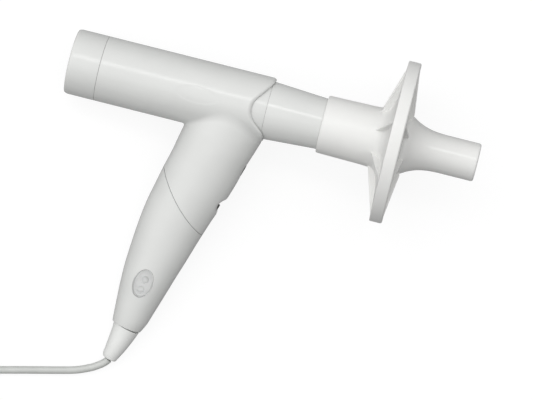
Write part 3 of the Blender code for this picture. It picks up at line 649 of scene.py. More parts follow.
def ellipse(x, y, length, width, lean=0.0, count=96):
    """Outlines an ellipse whose length runs along y, leaned by an angle towards x."""
    points = []
    for angle in whole_turn(count):
        across = width / 2.0 * math.cos(angle)
        along = length / 2.0 * math.sin(angle)
        points.append((x + across * math.cos(lean) + along * math.sin(lean),
                       y - across * math.sin(lean) + along * math.cos(lean)))
    return points


def peg(name, radius, x, low, high, steps=48):
    """Makes a round peg that points down the handle, between two distances below the axis."""
    rows = [[(x + radius * math.cos(a), -below, radius * math.sin(a)) for a in whole_turn(steps)]
            for below in (low, high)]
    return skin(name, rows, close_rows=False, cap=True)


# %% [markdown]
# ## The housing
# The barrel and the upper handle are one moulding, and where they meet there is a soft fillet. A
# bevel can't follow such a seam, so the fillet is made from distances. Each point of the joined mesh
# has a distance to the barrel and one to the handle. A smooth minimum of the two is a distance to
# the filleted body, and each point is moved along its slope until that distance is zero. The finger
# scoop in the front edge is taken away in the same manner, with a smooth maximum. The shading
# normals come from the same slope, so that the highlights run clean across the join. The scoop is
# given as x, y and radius, and the shallow oval pad on the barrel as x, y, half length and half width.

# %% Housing field
FILLET = 2.3
SCOOP = (130.2, -75.0, 7.0)
SCOOP_EDGE = 1.2
PAD = (92.3, 0.8, 14.8, 5.7)
PAD_DEPTH = 0.13
PAD_EDGE = 0.09
GRIP_TOP = 6.0


def smooth_minimum(a, b, size):
    """Joins two distances with a fillet of about this size."""
    share = np.maximum(size - np.abs(a - b), 0.0) / size
    return np.minimum(a, b) - share * share * size / 4.0


def housing_distance(p):
    """Returns how far points lie outside the barrel and handle, joined with a fillet.

    The two small limits keep the divisions safe along the handle's middle line.
    """
    x, y, z = p.T
    across, along, half_length, half_width = y - PAD[1], x - PAD[0], PAD[2], PAD[3]
    oval = np.sqrt((along / half_length) ** 2 + (across / half_width) ** 2)
    sunk = np.where(z > 0.0, np.clip((1.0 + PAD_EDGE - oval) / (2.0 * PAD_EDGE), 0.0, 1.0), 0.0)
    barrel = np.hypot(y, z) - BARREL_RADIUS + PAD_DEPTH * sunk * sunk * (3.0 - 2.0 * sunk)
    middle, half, depth = sections_at(HANDLE, -y).T
    round_the = np.maximum(np.hypot((x - middle) / half, z / depth), 0.05)
    steep = np.hypot((x - middle) / half ** 2, z / depth ** 2) / round_the
    grip = np.maximum((round_the - 1.0) / np.maximum(steep, 0.02), y - GRIP_TOP)
    scoop = SCOOP[2] - np.hypot(x - SCOOP[0], y - SCOOP[1])
    return -smooth_minimum(-smooth_minimum(barrel, grip, FILLET), -scoop, SCOOP_EDGE)


def slope(p, step=0.02):
    """Returns the direction in which the housing's distance grows, and how fast."""
    grown = []
    for axis in np.eye(3) * step:
        grown.append((housing_distance(p + axis) - housing_distance(p - axis)) / (2.0 * step))
    return np.stack(grown, axis=1)


on_top = np.array([[60.0, 0.0, BARREL_RADIUS]])
print("distance at the top of the barrel", round(float(housing_distance(on_top)[0]), 4), "mm")

# %% [markdown]
# The front edge of the housing is scalloped: an arc with two straight tangents, cut across the whole
# barrel. The barrel's rows of points follow that edge, and the last of them roll over it, so that the
# lip is round without a bevel.

# %% Barrel
BARREL_REAR = 21.85
BARREL_FRONT = 142.9
BARREL_ROWS = 160
LIP = 1.8
LIP_LENGTH = 4.2
LIP_STEPS = 8
SCALLOP_X = 131.0
SCALLOP_Y = 1.0
SCALLOP_RADIUS = 13.1
UPPER = math.radians(36.7)
LOWER = math.radians(46.5)
REAR_EDGE = 0.3

# The front face is cut away by the bore. Its rows start inside the bore, or they would fold the lip.
FACE_RADII = (20.0, 15.0, 8.0, 3.0, 0.0)


def smooth_step_down(x, size=2.4):
    """Returns the smaller of x and 0, with the corner between them rounded."""
    share = max(size - abs(x), 0.0) / size
    return min(x, 0.0) - share * share * size / 4.0


def front_edge(y):
    """Returns where the housing ends at this height y across the barrel."""
    middle = SCALLOP_X + SCALLOP_RADIUS
    high = SCALLOP_Y + SCALLOP_RADIUS * math.sin(UPPER)
    low = SCALLOP_Y - SCALLOP_RADIUS * math.sin(LOWER)
    if y > high:
        x = middle - SCALLOP_RADIUS * math.cos(UPPER) + (y - high) * math.tan(UPPER)
    elif y < low:
        x = middle - SCALLOP_RADIUS * math.cos(LOWER) + (low - y) * math.tan(LOWER)
    else:
        x = middle - math.sqrt(SCALLOP_RADIUS ** 2 - (y - SCALLOP_Y) ** 2)
    return BARREL_FRONT + smooth_step_down(x - BARREL_FRONT)


def edge_row(radius, behind, start=0.0, share=1.0):
    """Lists points at this share of the way from start to a line that runs behind the front edge."""
    circle = [(radius * math.cos(a), radius * math.sin(a)) for a in whole_turn(ROUND)]
    return [(start + (front_edge(y) - behind - start) * share, y, z) for y, z in circle]


def barrel_mesh():
    """Skins the barrel as a solid, with its scalloped front and a rounded lip."""
    rows = [[(BARREL_REAR, 0.0, 0.0)] * ROUND]
    for inward, x in ((REAR_EDGE, 0.0), (0.3 * REAR_EDGE, 0.3 * REAR_EDGE), (0.0, REAR_EDGE)):
        rows.append(ring_of_points(BARREL_REAR + x, BARREL_RADIUS - inward))
    start = BARREL_REAR + REAR_EDGE
    for i in range(1, BARREL_ROWS + 1):
        rows.append(edge_row(BARREL_RADIUS, LIP_LENGTH, start, i / BARREL_ROWS))
    for roll in quarter_turn(LIP_STEPS)[1:]:
        rows.append(edge_row(BARREL_RADIUS - LIP * (1.0 - math.cos(roll)),
                             LIP_LENGTH * (1.0 - math.sin(roll))))
    for radius in FACE_RADII:
        rows.append(edge_row(radius, 0.0))
    return skin("barrel", rows, close_rows=False)


print("the scallop's bottom is at", round(front_edge(SCALLOP_Y), 1), "of", BARREL_FRONT, "mm")

# %% [markdown]
# The seam between the housing and the lower shell is an arc about a point far in front of the handle.
# Both shells are cut along it, each half a gap short, which leaves a fine dark line. The button and
# the latch have a matrix each, which turns a flat outline to face out of the handle's front edge.

# %% Seam and the places of the controls
SEAM_X = 202.95
SEAM_Y = 19.5
SEAM_RADIUS = 144.0
SEAM_START = math.radians(200.0)
SEAM_END = math.radians(245.0)
GAP = 0.3


def seam_line(radius, count=96):
    """Lists points down the curved seam, from above the handle's rear edge to below its front."""
    return arc(SEAM_X, SEAM_Y, radius, SEAM_START, SEAM_END, count)


def control_matrix(place, angle):
    """Points local z outwards through the handle's front edge, local y along the edge."""
    outward = Vector((math.cos(angle), math.sin(angle), 0.0))
    along = Vector((-math.sin(angle), math.cos(angle), 0.0))
    turned_to = Matrix((along.cross(outward), along, outward)).transposed().to_4x4()
    return Matrix.Translation((*place, 0.0)) @ turned_to


# A control's size is its length along the edge and its width across it.
BUTTON = control_matrix((134.9, -45.9), math.radians(-16.8))
BUTTON_SIZE = (10.0, 6.0)
LATCH = control_matrix((125.6, -77.1), math.radians(-20.9))
LATCH_SIZE = (7.0, 8.0)


def control_outline(length, width):
    """Outlines a control that is rounded along its longer side."""
    if length > width:
        return stadium(length, width)
    return [(y, x) for x, y in reversed(stadium(width, length))]


print("seam points:", len(seam_line(SEAM_RADIUS)))

# %% [markdown]
# The barrel and the grip meet in a sharp crease at first. The points of the joined mesh are moved down
# the slope of the distance in a few steps, until they lie on the filleted skin. The barrel's ends and
# the rolled lip hold still, because the distance knows nothing of them. The same slope then gives the
# shading normals of the outer skin. Faces inside and in the cuts keep the mesh's own.

# %% Settling and shading the skin
NEAR_SKIN = 3.5
FIELD_END = -125.0
FRONT_FADE = 3.0
SETTLE_STEPS = 8
ON_SKIN = 0.02


def points_of(mesh):
    """Reads a mesh's points into an array with a row for each."""
    points = np.empty(len(mesh.vertices) * 3)
    mesh.vertices.foreach_get("co", points)
    return points.reshape(-1, 3)


def to_surface(mesh):
    """Moves the points of the joined mesh onto the filleted body, but leaves its ends as they are."""
    points = points_of(mesh)
    near = np.abs(housing_distance(points)) < NEAR_SKIN
    near &= (points[:, 0] > BARREL_REAR + 0.5) & (points[:, 1] > FIELD_END)
    for _ in range(SETTLE_STEPS):
        p = points[near]
        grown = slope(p)
        step = grown * (housing_distance(p) / np.maximum((grown ** 2).sum(1), 0.1))[:, None]
        step[:, 0] *= np.clip((BARREL_FRONT - FRONT_FADE - p[:, 0]) / FRONT_FADE, 0.0, 1.0)
        edge = np.array([front_edge(y) for y in p[:, 1]])
        lip = np.clip((edge - p[:, 0]) / LIP_LENGTH, 0.0, 1.0) ** 3
        inside = np.hypot(p[:, 1], p[:, 2]) < BARREL_RADIUS - 0.01
        step *= np.where(inside & (p[:, 1] > -BARREL_RADIUS), lip, 1.0)[:, None]
        points[near] = p - step
    mesh.vertices.foreach_set("co", points.ravel())
    mesh.update()


def shade_by_slope(mesh):
    """Takes the shading of the outer surface from the slope of its distance."""
    points = points_of(mesh)
    on_skin = np.abs(housing_distance(points)) < ON_SKIN
    normals = slope(points)
    normals /= np.maximum(np.linalg.norm(normals, axis=1), 1e-6)[:, None]
    loops = np.zeros((len(mesh.loops), 3))
    for face in mesh.polygons:
        facing = np.array(face.normal)
        if all(on_skin[v] for v in face.vertices) and facing @ normals[face.vertices[0]] > 0.8:
            for i in face.loop_indices:
                loops[i] = normals[mesh.loops[i].vertex_index]
    mesh.normals_split_custom_set(loops.tolist())


print("points settle in", SETTLE_STEPS, "steps")

# %% [markdown]
# The housing is put together in order. The grip loses what would fill the scallop, joins the barrel
# and is settled. Then a row of Booleans takes out the bore for the air line, the handle's cavity, the
# pressure taps, the openings for the controls and all that lies below the seam.

# %% Housing shell
WALL = 2.4
HOUSING_END = 118.1
TAP_PLACES = (94.5, 118.5)
TAP_RADIUS = 2.3
SCALLOP_LOW = -15.0
SCALLOP_SPAN = 34.0
SCALLOP_STEPS = 120


def scallop_mesh():
    """Makes what is cut from the grip in front of the scalloped edge."""
    heights = [SCALLOP_LOW + SCALLOP_SPAN * i / SCALLOP_STEPS for i in range(SCALLOP_STEPS + 1)]
    edge = [(front_edge(y) - GAP, y) for y in heights]
    return prism("scallop", [*edge, (150.0, heights[-1]), (150.0, heights[0])])


grip = combine(loft("grip", HANDLE, HANDLE[0][0], HOUSING_END, 1.0), [scallop_mesh()])
housing = combine(barrel_mesh(), [grip], "UNION")
to_surface(housing)

# The bore is turned by a fraction of a facet, so that no corner of it lies on one of the barrel's.
bore = turned("bore", [(0.0, 146.0), (21.1, 146.0), (21.1, 124.0), (19.6, 124.0), (19.6, 15.0),
                       (0.0, 15.0)], closed=False)
bore.transform(Matrix.Rotation(math.radians(0.4), 4, "X"))

# Below the seam the cut runs along the curve and then well clear of the handle.
below_seam = prism("below_seam", [*seam_line(SEAM_RADIUS - GAP / 2.0), (150.0, -170.0),
                                  (20.0, -170.0), (20.0, -29.75)])
cuts = [bore, below_seam, loft("cavity", HANDLE, 24.0, HOUSING_END, 2.0, WALL, 96)]
for place in TAP_PLACES:
    cuts.append(peg("tap", TAP_RADIUS, place, 15.0, 28.0))
for matrix, (length, width) in ((BUTTON, BUTTON_SIZE), (LATCH, LATCH_SIZE)):
    outline = control_outline(length + 2.0 * GAP, width + 2.0 * GAP)
    cuts.append(moved(prism("control_hole", outline, -8.0, 8.0), matrix))
housing = combine(housing, cuts)
print("housing faces", len(housing.polygons))
add_piece("housing_shell", housing, ABS, "housing", ["upper_housing"], sharp=28.0,
          shade=shade_by_slope)

# %% [markdown]
# ## The lower shell, its window and the boot
# The lower shell carries on the housing's curve below the seam. Its shading comes from the same slope
# as the housing's, so a highlight that crosses the seam doesn't jump. It ends in a slanted joint, where
# a soft boot takes over and carries the cord. The joint is shut at the rear and gapes at the front.

# %% Lower shell
# The window as x, y, length and width.
WINDOW = (85.9, -138.0, 21.0, 13.7)
WINDOW_LEAN = math.radians(11.0)
BOOT_X = 82.0
JOINT_REAR = (60.0, -169.0)
JOINT_FRONT = (100.0, -176.6)
JOINT_GAPS = (-1.0, 2.1)
JOINT_REACH = 25.0
WINDOW_GAP = 0.08


def above_seam():
    """Makes what is cut from the lower shell above the curved seam."""
    edge = seam_line(SEAM_RADIUS + GAP / 2.0)
    return prism("above_seam", [*edge, (170.0, -112.0), (170.0, -20.0), (68.0, -20.0)])


def beyond_joint(side, gaps=(0.0, 0.0)):
    """Makes what is cut away on one side of the slanted joint: 1 above it, -1 below it."""
    rear = (JOINT_REAR[0], JOINT_REAR[1] - gaps[0])
    front = (JOINT_FRONT[0], JOINT_FRONT[1] - gaps[1])
    return prism("beyond_joint", [rear, front, (front[0], front[1] + JOINT_REACH * side),
                                  (rear[0], rear[1] + JOINT_REACH * side)])


def window_outline(gap=0.0):
    """Outlines the window, or its hole."""
    x, y, length, width = WINDOW
    return ellipse(x, y, length + 2.0 * gap, width + 2.0 * gap, WINDOW_LEAN)


# The cavity lies a millimetre forward of the shell's middle.
lower = loft("lower", HANDLE, 50.0, 179.0, 1.0)
lower_cavity = moved(loft("lower_cavity", HANDLE, 40.0, 168.6, 2.0, WALL, 96),
                     Matrix.Translation((1.0, 0.0, 0.0)))
lower = combine(lower, [above_seam(), beyond_joint(-1), lower_cavity,
                        prism("window_hole", window_outline(WINDOW_GAP), 4.0, 25.0),
                        peg("boot_hole", 6.3, BOOT_X, 160.0, 190.0)])
add_piece("lower_shell", lower, ABS, "housing", ["lower_handle"], sharp=28.0,
          shade=shade_by_slope)
print("lower shell faces", len(lower.polygons))

# %% Boot
boot = loft("boot", BOOT, 168.2, BOOT[-1][0], 0.8, sides=96, rounding=0.8)
boot = combine(boot, [beyond_joint(1, JOINT_GAPS)])
boot = combine(boot, [peg("boot_neck", 6.0, BOOT_X, 167.6, 178.0)], "UNION")
cord_boot = add_piece("cord_boot", boot, BOOT_TPE_PAINTED_LIGHTER, "housing", ["strain_relief"])
print("boot faces", len(boot.polygons))

# %% [markdown]
# ## The window
# An oval cap of clear polycarbonate lies flush in the shell. A white tray with two small white domes
# lies under it, painted brighter than a plain white: painted light for the lamp light that the cap
# keeps from it, so the window looks pale and not black. The cap is thin, as the real one is: a solid
# block would bend the view sideways and show the inside of the handle.

# %% Window and its tray
CAP_THICKNESS = 1.3
# The tray's rows as (how far out from the window's outline, height).
TRAY_ROWS = ((-0.1, 10.3), (-0.1, 12.6), (-0.5, 12.6), (-1.0, 11.7), (-2.2, 11.3))
DOMES = ((86.8, -135.6), (85.2, -143.0))
DOME_RADIUS = 2.4
POCKET_RADIUS = 3.0
POCKET_SHIFT = (-0.6, 0.2)
POCKET_FLOOR = 10.9

window = combine(loft("window", HANDLE, 122.0, 156.0, 0.7), [
    loft("window_inside", HANDLE, 120.0, 158.0, 0.7, CAP_THICKNESS)])
window = combine(window, [prism("window_shape", window_outline(), 0.0, 25.0)], "INTERSECT")
add_piece("status_window", window, POLYCARBONATE, "housing", ["status_lens"])

tray_rows = [[(x, y, height) for x, y in window_outline(grow)] for grow, height in TRAY_ROWS]
pockets = [prism("pocket", ellipse(x + POCKET_SHIFT[0], y + POCKET_SHIFT[1], 2.0 * POCKET_RADIUS,
                                   2.0 * POCKET_RADIUS, count=48), POCKET_FLOOR, 14.0) for x, y in DOMES]
tray = combine(skin("tray", tray_rows, close_rows=False, cap=True), pockets)
add_piece("light_tray", tray, TRAY_WHITE_PAINTED_LIGHTER, "housing")


def dome(name, x, y):
    """Makes a round dome that stands in the tray."""
    rows = []
    for turn in quarter_turn(8):
        radius = max(DOME_RADIUS * math.cos(turn), 0.02)
        height = POCKET_FLOOR + 0.1 + DOME_RADIUS * math.sin(turn)
        rows.append([(x + radius * math.cos(a), y + radius * math.sin(a), height) for a in whole_turn(48)])
    return skin(name, rows, close_rows=False, cap=True)


for number, (x, y) in enumerate(DOMES, 1):
    name = "light_dome_" + str(number)
    add_piece(name, dome(name, x, y), TRAY_WHITE_PAINTED_LIGHTER, "housing")
print("window faces", len(window.polygons), "and tray faces", len(tray.polygons))

# %% [markdown]
# ## The filter
# The filter is two polypropylene mouldings welded at the rim, with a disc of fleece between them.
# Each half is a turned form with eight thin ribs that stiffen its flat wall. The ribs repeat about
# the air axis, so they come from Geometry Nodes: the tree takes one rib, puts a copy at each step
# round the axis and turns it. The result is joined to the wall with a Boolean, so that the half is
# one closed body as the moulding is. The rear half has a matt mould finish and mirrors nothing
# sharply. The front half is polished, as a mouthpiece is, and mirrors the strip lamp in a fine line.

# %% Rib tree
RIBS = 8
RIB_TURN = math.radians(24.5)
RIB_THICKNESS = 1.1
RIB_EDGE = 0.3


def named_inputs(tree, inputs):
    """Gives a Geometry Nodes tree its geometry sockets and its named inputs."""
    tree.interface.new_socket("Geometry", in_out="INPUT", socket_type="NodeSocketGeometry")
    for name, kind in inputs.items():
        tree.interface.new_socket(name, in_out="INPUT", socket_type=kind)
    tree.interface.new_socket("Geometry", in_out="OUTPUT", socket_type="NodeSocketGeometry")
    return add_node(tree, "NodeGroupInput").outputs, add_node(tree, "NodeGroupOutput")


def rib_tree():
    """Builds the tree that repeats a rib about the air axis."""
    tree = bpy.data.node_groups.new("ribs_round_axis", "GeometryNodeTree")
    given, out = named_inputs(tree, {"Ribs": "NodeSocketInt", "First turn": "NodeSocketFloat",
                                     "Material": "NodeSocketMaterial"})
    spots = add_node(tree, "GeometryNodePoints", {"Count": given["Ribs"]})
    index = add_node(tree, "GeometryNodeInputIndex").outputs["Index"]
    step = add_node(tree, "ShaderNodeMath", {0: 2.0 * math.pi, 1: given["Ribs"]}, operation="DIVIDE")
    angle = add_node(tree, "ShaderNodeMath", {0: index, 1: step.outputs[0], 2: given["First turn"]},
                     operation="MULTIPLY_ADD")
    turn = add_node(tree, "ShaderNodeCombineXYZ", {"X": angle.outputs[0]})
    copies = add_node(tree, "GeometryNodeInstanceOnPoints", {
        "Points": spots.outputs["Points"], "Instance": given["Geometry"], "Rotation": turn.outputs[0]})
    solid = add_node(tree, "GeometryNodeRealizeInstances", {"Geometry": copies.outputs["Instances"]})
    painted = add_node(tree, "GeometryNodeSetMaterial", {
        "Geometry": solid.outputs["Geometry"], "Material": given["Material"]})
    tree.links.new(painted.outputs["Geometry"], out.inputs["Geometry"])
    return tree


def run_tree(tree, mesh, values):
    """Runs a tree on a mesh and returns the plain mesh that it makes."""
    item = as_object("repeated", mesh)
    modifier = item.modifiers.new("nodes", "NODES")
    modifier.node_group = tree
    for socket in tree.interface.items_tree:
        if socket.in_out == "INPUT" and socket.name in values:
            modifier[socket.identifier] = values[socket.name]
    graph = bpy.context.evaluated_depsgraph_get()
    result = bpy.data.meshes.new_from_object(item.evaluated_get(graph))
    item.modifiers.remove(modifier)
    bpy.data.objects.remove(item)
    return result


def bevelled(mesh, width, segments=2):
    """Rounds every edge of a mesh that turns by more than 20 degrees."""
    shape = bmesh.new()
    shape.from_mesh(mesh)
    edges = [edge for edge in shape.edges if edge.calc_face_angle(0.0) > math.radians(20.0)]
    bmesh.ops.bevel(shape, geom=edges, offset=width, segments=segments, affect="EDGES", profile=0.5,
                    clamp_overlap=True)
    shape.to_mesh(mesh)
    shape.free()
    return mesh


def one_rib(name, outline):
    """Makes a single rib in the plane of the air axis, from an outline of (radius, x)."""
    swapped = Matrix(((0, 1, 0, 0), (1, 0, 0, 0), (0, 0, 1, 0), (0, 0, 0, 1)))
    rib = moved(prism(name, outline, -RIB_THICKNESS / 2.0, RIB_THICKNESS / 2.0), swapped)
    rib.flip_normals()
    return bevelled(rib, RIB_EDGE)


RIB_TREE = rib_tree()
print("rib tree nodes", len(RIB_TREE.nodes))

# %% Filter halves
half_values = {"Ribs": RIBS, "First turn": RIB_TURN, "Material": POLYPROPYLENE_MATT}
rear_half = turned("filter_rear", soften([
    (56.5, 237.5, 0.5), (RIM_RADIUS, 236.8, 0.8), (RIM_RADIUS, RIM_FOOT, 0.8), (56.5, 228.4, 0.5),
    (40.0, 227.6, 4.0), (28.5, 225.6, 3.0), (23.2, 222.6, 1.5), (21.5, 219.6, 1.5), (21.0, 214.0, 1.5),
    (20.4, 181.6, 0.3), (19.9, 180.5, 0.4), (18.5, 180.5, 0.3), (16.9, 204.6, 0.2), (14.8, 204.6, 0.3),
    (14.8, 206.8, 0.5), (18.8, 209.0, 1.0), (19.4, 219.6, 2.0), (21.6, 224.4, 2.0), (28.0, 227.2, 3.0),
    (40.0, 229.4, 4.0), (50.5, 230.3, 0.3), (50.5, 231.3, 0.2), (54.8, 231.3, 0.2), (54.8, 237.5, 0.3)]))
rear_ribs = run_tree(RIB_TREE, one_rib("rear_rib", [
    (20.6, 217.0), (22.6, 218.9), (53.5, 228.2), (53.5, 229.2), (40.0, 228.4), (27.0, 226.0),
    (22.4, 223.4), (20.4, 219.4)]), half_values)
rear_half = combine(rear_half, [rear_ribs], "UNION")
add_piece("filter_rear_moulding", rear_half, POLYPROPYLENE_MATT, "filter",
          ["filter_rear_half"], sharp=20.0)

half_values["Material"] = POLYPROPYLENE
front_half = turned("filter_front", soften([
    (12.0, 291.6, 0.2), (12.8, 291.4), (13.3, 290.8), (13.5, 289.9, 0.6), (13.5, 265.0, 3.0),
    (14.0, 257.6, 3.0), (15.5, 251.0, 3.0), (18.0, 245.2, 2.5), (20.6, 241.2, 2.0), (21.4, 238.0, 1.2),
    (30.0, 237.2, 2.0), (54.5, 236.3, 0.2), (54.5, 233.5, 0.2), (51.6, 233.5, 0.2), (51.6, 234.5, 0.3),
    (30.0, 235.4, 2.0), (20.0, 236.4, 1.0), (18.4, 240.2, 1.5), (15.6, 246.0, 2.5), (13.2, 252.6, 3.0),
    (11.6, 264.0, 3.0), (11.6, 291.3, 0.2), (11.8, 291.6, 0.1)]))
front_ribs = run_tree(RIB_TREE, one_rib("front_rib", [
    (20.2, 241.0), (22.6, 241.3), (53.6, 237.5), (53.8, 235.6), (30.0, 236.0),
    (20.2, 237.0)]), half_values)
front_half = combine(front_half, [front_ribs], "UNION")
add_piece("filter_front_moulding", front_half, POLYPROPYLENE, "filter",
          ["filter_front_half"], sharp=20.0)

fleece = turned("fleece", soften([(0.0, 233.2), (53.6, 233.2, 0.5), (53.6, 231.6, 0.5), (0.0, 231.6)],
                                 closed=False), 128, closed=False)
add_piece("filter_fleece_disc", fleece, FLEECE, "filter", ["filter_medium"])
print("filter faces", len(rear_half.polygons), "and", len(front_half.polygons))

# %% [markdown]
# ## Seals and the flow element
# Two O-rings close the joints of the air line. The flow element is a ring with eight thin plates
# across it. Air that passes between them flows in layers, so the pressure drops in step with the
# flow. The plates repeat along a line, so a second small tree lays them out, and a Boolean trims
# them to the round of the ring. An O-ring could be a torus from the Add menu. Here it is one more
# turned outline, so it lies on the air axis without being placed.

# %% Seals


def o_ring(name, centre, place, section, body, node):
    """Makes an O-ring of this section radius."""
    outline = [(centre + section * math.sin(a), place + section * math.cos(a)) for a in whole_turn(16)]
    add_piece(name, turned(name, outline, 96), SILICONE, body, [node])
    print(name, "outside diameter", round(2.0 * (centre + section), 1), "mm")


o_ring("nose_o_ring", 18.4, 130.2, 0.78, "housing", "nose_seal")
o_ring("rear_o_ring", 18.7, 27.2, 0.58, "ring", "rear_ring_seal")

# %% Flow element
PLATES = 8
PLATE_PITCH = 2.9
PLATE_THICKNESS = 0.5
PLATE_REACH = 14.5
PLATE_INSET = 1.0
PACK_REAR = 98.0
PACK_FRONT = 115.0


def plate_tree():
    """Builds the tree that stacks flat plates along y, evenly about the axis."""
    tree = bpy.data.node_groups.new("stacked_plates", "GeometryNodeTree")
    given, out = named_inputs(tree, {"Plates": "NodeSocketInt", "Pitch": "NodeSocketFloat",
                                     "Material": "NodeSocketMaterial"})
    gaps = add_node(tree, "ShaderNodeMath", {0: given["Plates"], 1: 1.0}, operation="SUBTRACT")
    span = add_node(tree, "ShaderNodeMath", {0: gaps.outputs[0], 1: given["Pitch"]}, operation="MULTIPLY")
    start = add_node(tree, "ShaderNodeMath", {0: span.outputs[0], 1: -0.5}, operation="MULTIPLY")
    first = add_node(tree, "ShaderNodeCombineXYZ", {"Y": start.outputs[0]})
    step = add_node(tree, "ShaderNodeCombineXYZ", {"Y": given["Pitch"]})
    row = add_node(tree, "GeometryNodeMeshLine", {"Count": given["Plates"], "Offset": step.outputs[0],
                                                  "Start Location": first.outputs[0]})
    copies = add_node(tree, "GeometryNodeInstanceOnPoints", {
        "Points": row.outputs["Mesh"], "Instance": given["Geometry"]})
    solid = add_node(tree, "GeometryNodeRealizeInstances", {"Geometry": copies.outputs["Instances"]})
    painted = add_node(tree, "GeometryNodeSetMaterial", {
        "Geometry": solid.outputs["Geometry"], "Material": given["Material"]})
    tree.links.new(painted.outputs["Geometry"], out.inputs["Geometry"])
    return tree


def plate():
    """Makes one plate as wide as the ring, in the plane of the air axis and z."""
    rear = PACK_REAR + PLATE_INSET
    front = PACK_FRONT - PLATE_INSET
    half = PLATE_THICKNESS / 2.0
    return prism("plate", [(rear, -half), (front, -half), (front, half), (rear, half)],
                 -PLATE_REACH, PLATE_REACH)


stack = run_tree(plate_tree(), plate(), {"Plates": PLATES, "Pitch": PLATE_PITCH, "Material": STAINLESS})
trim = turned("trim", [(0.0, PACK_FRONT), (13.7, PACK_FRONT), (13.7, PACK_REAR), (0.0, PACK_REAR)], 128,
              closed=False)
carrier = turned("carrier", [(14.2, PACK_FRONT), (14.2, PACK_REAR), (13.2, PACK_REAR),
                             (13.2, PACK_FRONT)], 128)
element = combine(combine(stack, [trim], "INTERSECT"), [carrier], "UNION")
add_piece("flow_plates", element, STAINLESS, "tube", ["flow_element"])
print("flow element faces", len(element.polygons))

# %% [markdown]
# ## The controls
# A button and a latch sit in the front edge of the handle, each a moulded cap with a flange that
# keeps it in. The cap's rim is rounded and its top is a little domed, which gives it the small
# highlight of a real key. Rows of one outline, grown or shrunk, make flange, rim and dome in one skin,
# where a box with a Bevel would need a part for each.

# %% Button and latch
FLANGE_REACH = 1.5
FLANGE_THICKNESS = 1.4
CAP_EDGE = 0.7
CAP_DOME = 0.12


def control_mesh(name, matrix, length, width, top, inside):
    """Skins a control from its flange to its domed top, and puts it in its place.

    The top and the flange's outer face are heights above the handle's front edge.
    """
    rows = [(FLANGE_REACH, inside - FLANGE_THICKNESS), (FLANGE_REACH, inside), (0.0, inside)]
    for turn in quarter_turn(4):
        rows.append((-CAP_EDGE * (1.0 - math.cos(turn)), top - CAP_EDGE + CAP_EDGE * math.sin(turn)))
    rows.append((-width / 4.0, top + CAP_DOME))
    loops = []
    for grow, height in rows:
        loops.append([(x, y, height) for x, y in control_outline(length + 2.0 * grow, width + 2.0 * grow)])
    return moved(skin(name, loops, close_rows=False, cap=True), matrix)


button = control_mesh("button_cap", BUTTON, *BUTTON_SIZE, -0.1, -3.7)
add_piece("button_cap", button, NYLON, "button", ["front_button"])
latch = control_mesh("latch_cap", LATCH, *LATCH_SIZE, -2.2, -4.9)
add_piece("latch_cap", latch, NYLON, "latch", ["release_latch"])
print("button faces", len(button.polygons), "and latch faces", len(latch.polygons))

# %% [markdown]
# ## What is on the cord
# The plug's body is a rounded block of the same PVC as the cord, with a plated shell in front. The
# shell is a folded strip round a plastic tongue. A strap of woven nylon holds the coil. All of it
# lies on the table. The block is skinned from rounded outlines too, because its upright corners are
# rounder than its rims and a Bevel would make them the same.

# %% Plug
PLUG = Matrix.Translation((-93.0, -129.7, 4.1)) @ Matrix.Rotation(math.radians(86.0), 4, "Z")
SHELL_REACH = 22.3


def rounded(length, width, corner, count=6):
    """Outlines a rounded rectangle, its length along x."""
    points = []
    for i, (sx, sy) in enumerate(((1, 1), (-1, 1), (-1, -1), (1, -1))):
        points += arc(sx * (length / 2.0 - corner), sy * (width / 2.0 - corner), corner,
                      i * math.pi / 2.0, (i + 1) * math.pi / 2.0, count)
    return points


def block(name, length, width, corner, low, high, edge):
    """Makes a rounded slab whose top and bottom edges are rounded too."""
    rows = []
    for turn in quarter_turn(4):
        rows.append((edge * (1.0 - math.sin(turn)), low + edge * (1.0 - math.cos(turn))))
    rows += [(inward, low + high - height) for inward, height in reversed(rows)]
    loops = []
    for inward, height in rows:
        outline = rounded(length - 2.0 * inward, width - 2.0 * inward, max(corner - inward, 0.1))
        loops.append([(x, y, height) for x, y in outline])
    return skin(name, loops, close_rows=False, cap=True)


body = moved(block("plug_moulding", 30.0, 16.0, 3.0, -4.0, 4.0, 1.2), PLUG)
plug_moulding = add_piece("plug_moulding", body, CORD_PVC, "housing", ["plug_body"], table)

tube_rows = []
for x, length, width in ((-6.99, 12.0, 4.5), (6.99, 12.0, 4.5), (6.99, 11.2, 3.7), (-4.99, 11.2, 3.7)):
    tube_rows.append([(x, y, z) for y, z in rounded(length, width, 0.5)])
sleeve = moved(skin("sleeve", tube_rows, close_rows=False, cap=True),
               PLUG @ Matrix.Translation((SHELL_REACH, 0.0, 0.0)))
plug_sleeve = add_piece("plug_sleeve", sleeve, STEEL, "housing", ["plug_shell"], table)

tongue = moved(block("tongue", 9.5, 10.8, 0.3, 0.1, 1.7, 0.15),
               PLUG @ Matrix.Translation((SHELL_REACH + 0.9, 0.0, 0.0)))
plug_tongue = add_piece("plug_tongue", tongue, NYLON, "housing", (), table)
print("plug faces:", [len(mesh.polygons) for mesh in (body, sleeve, tongue)])

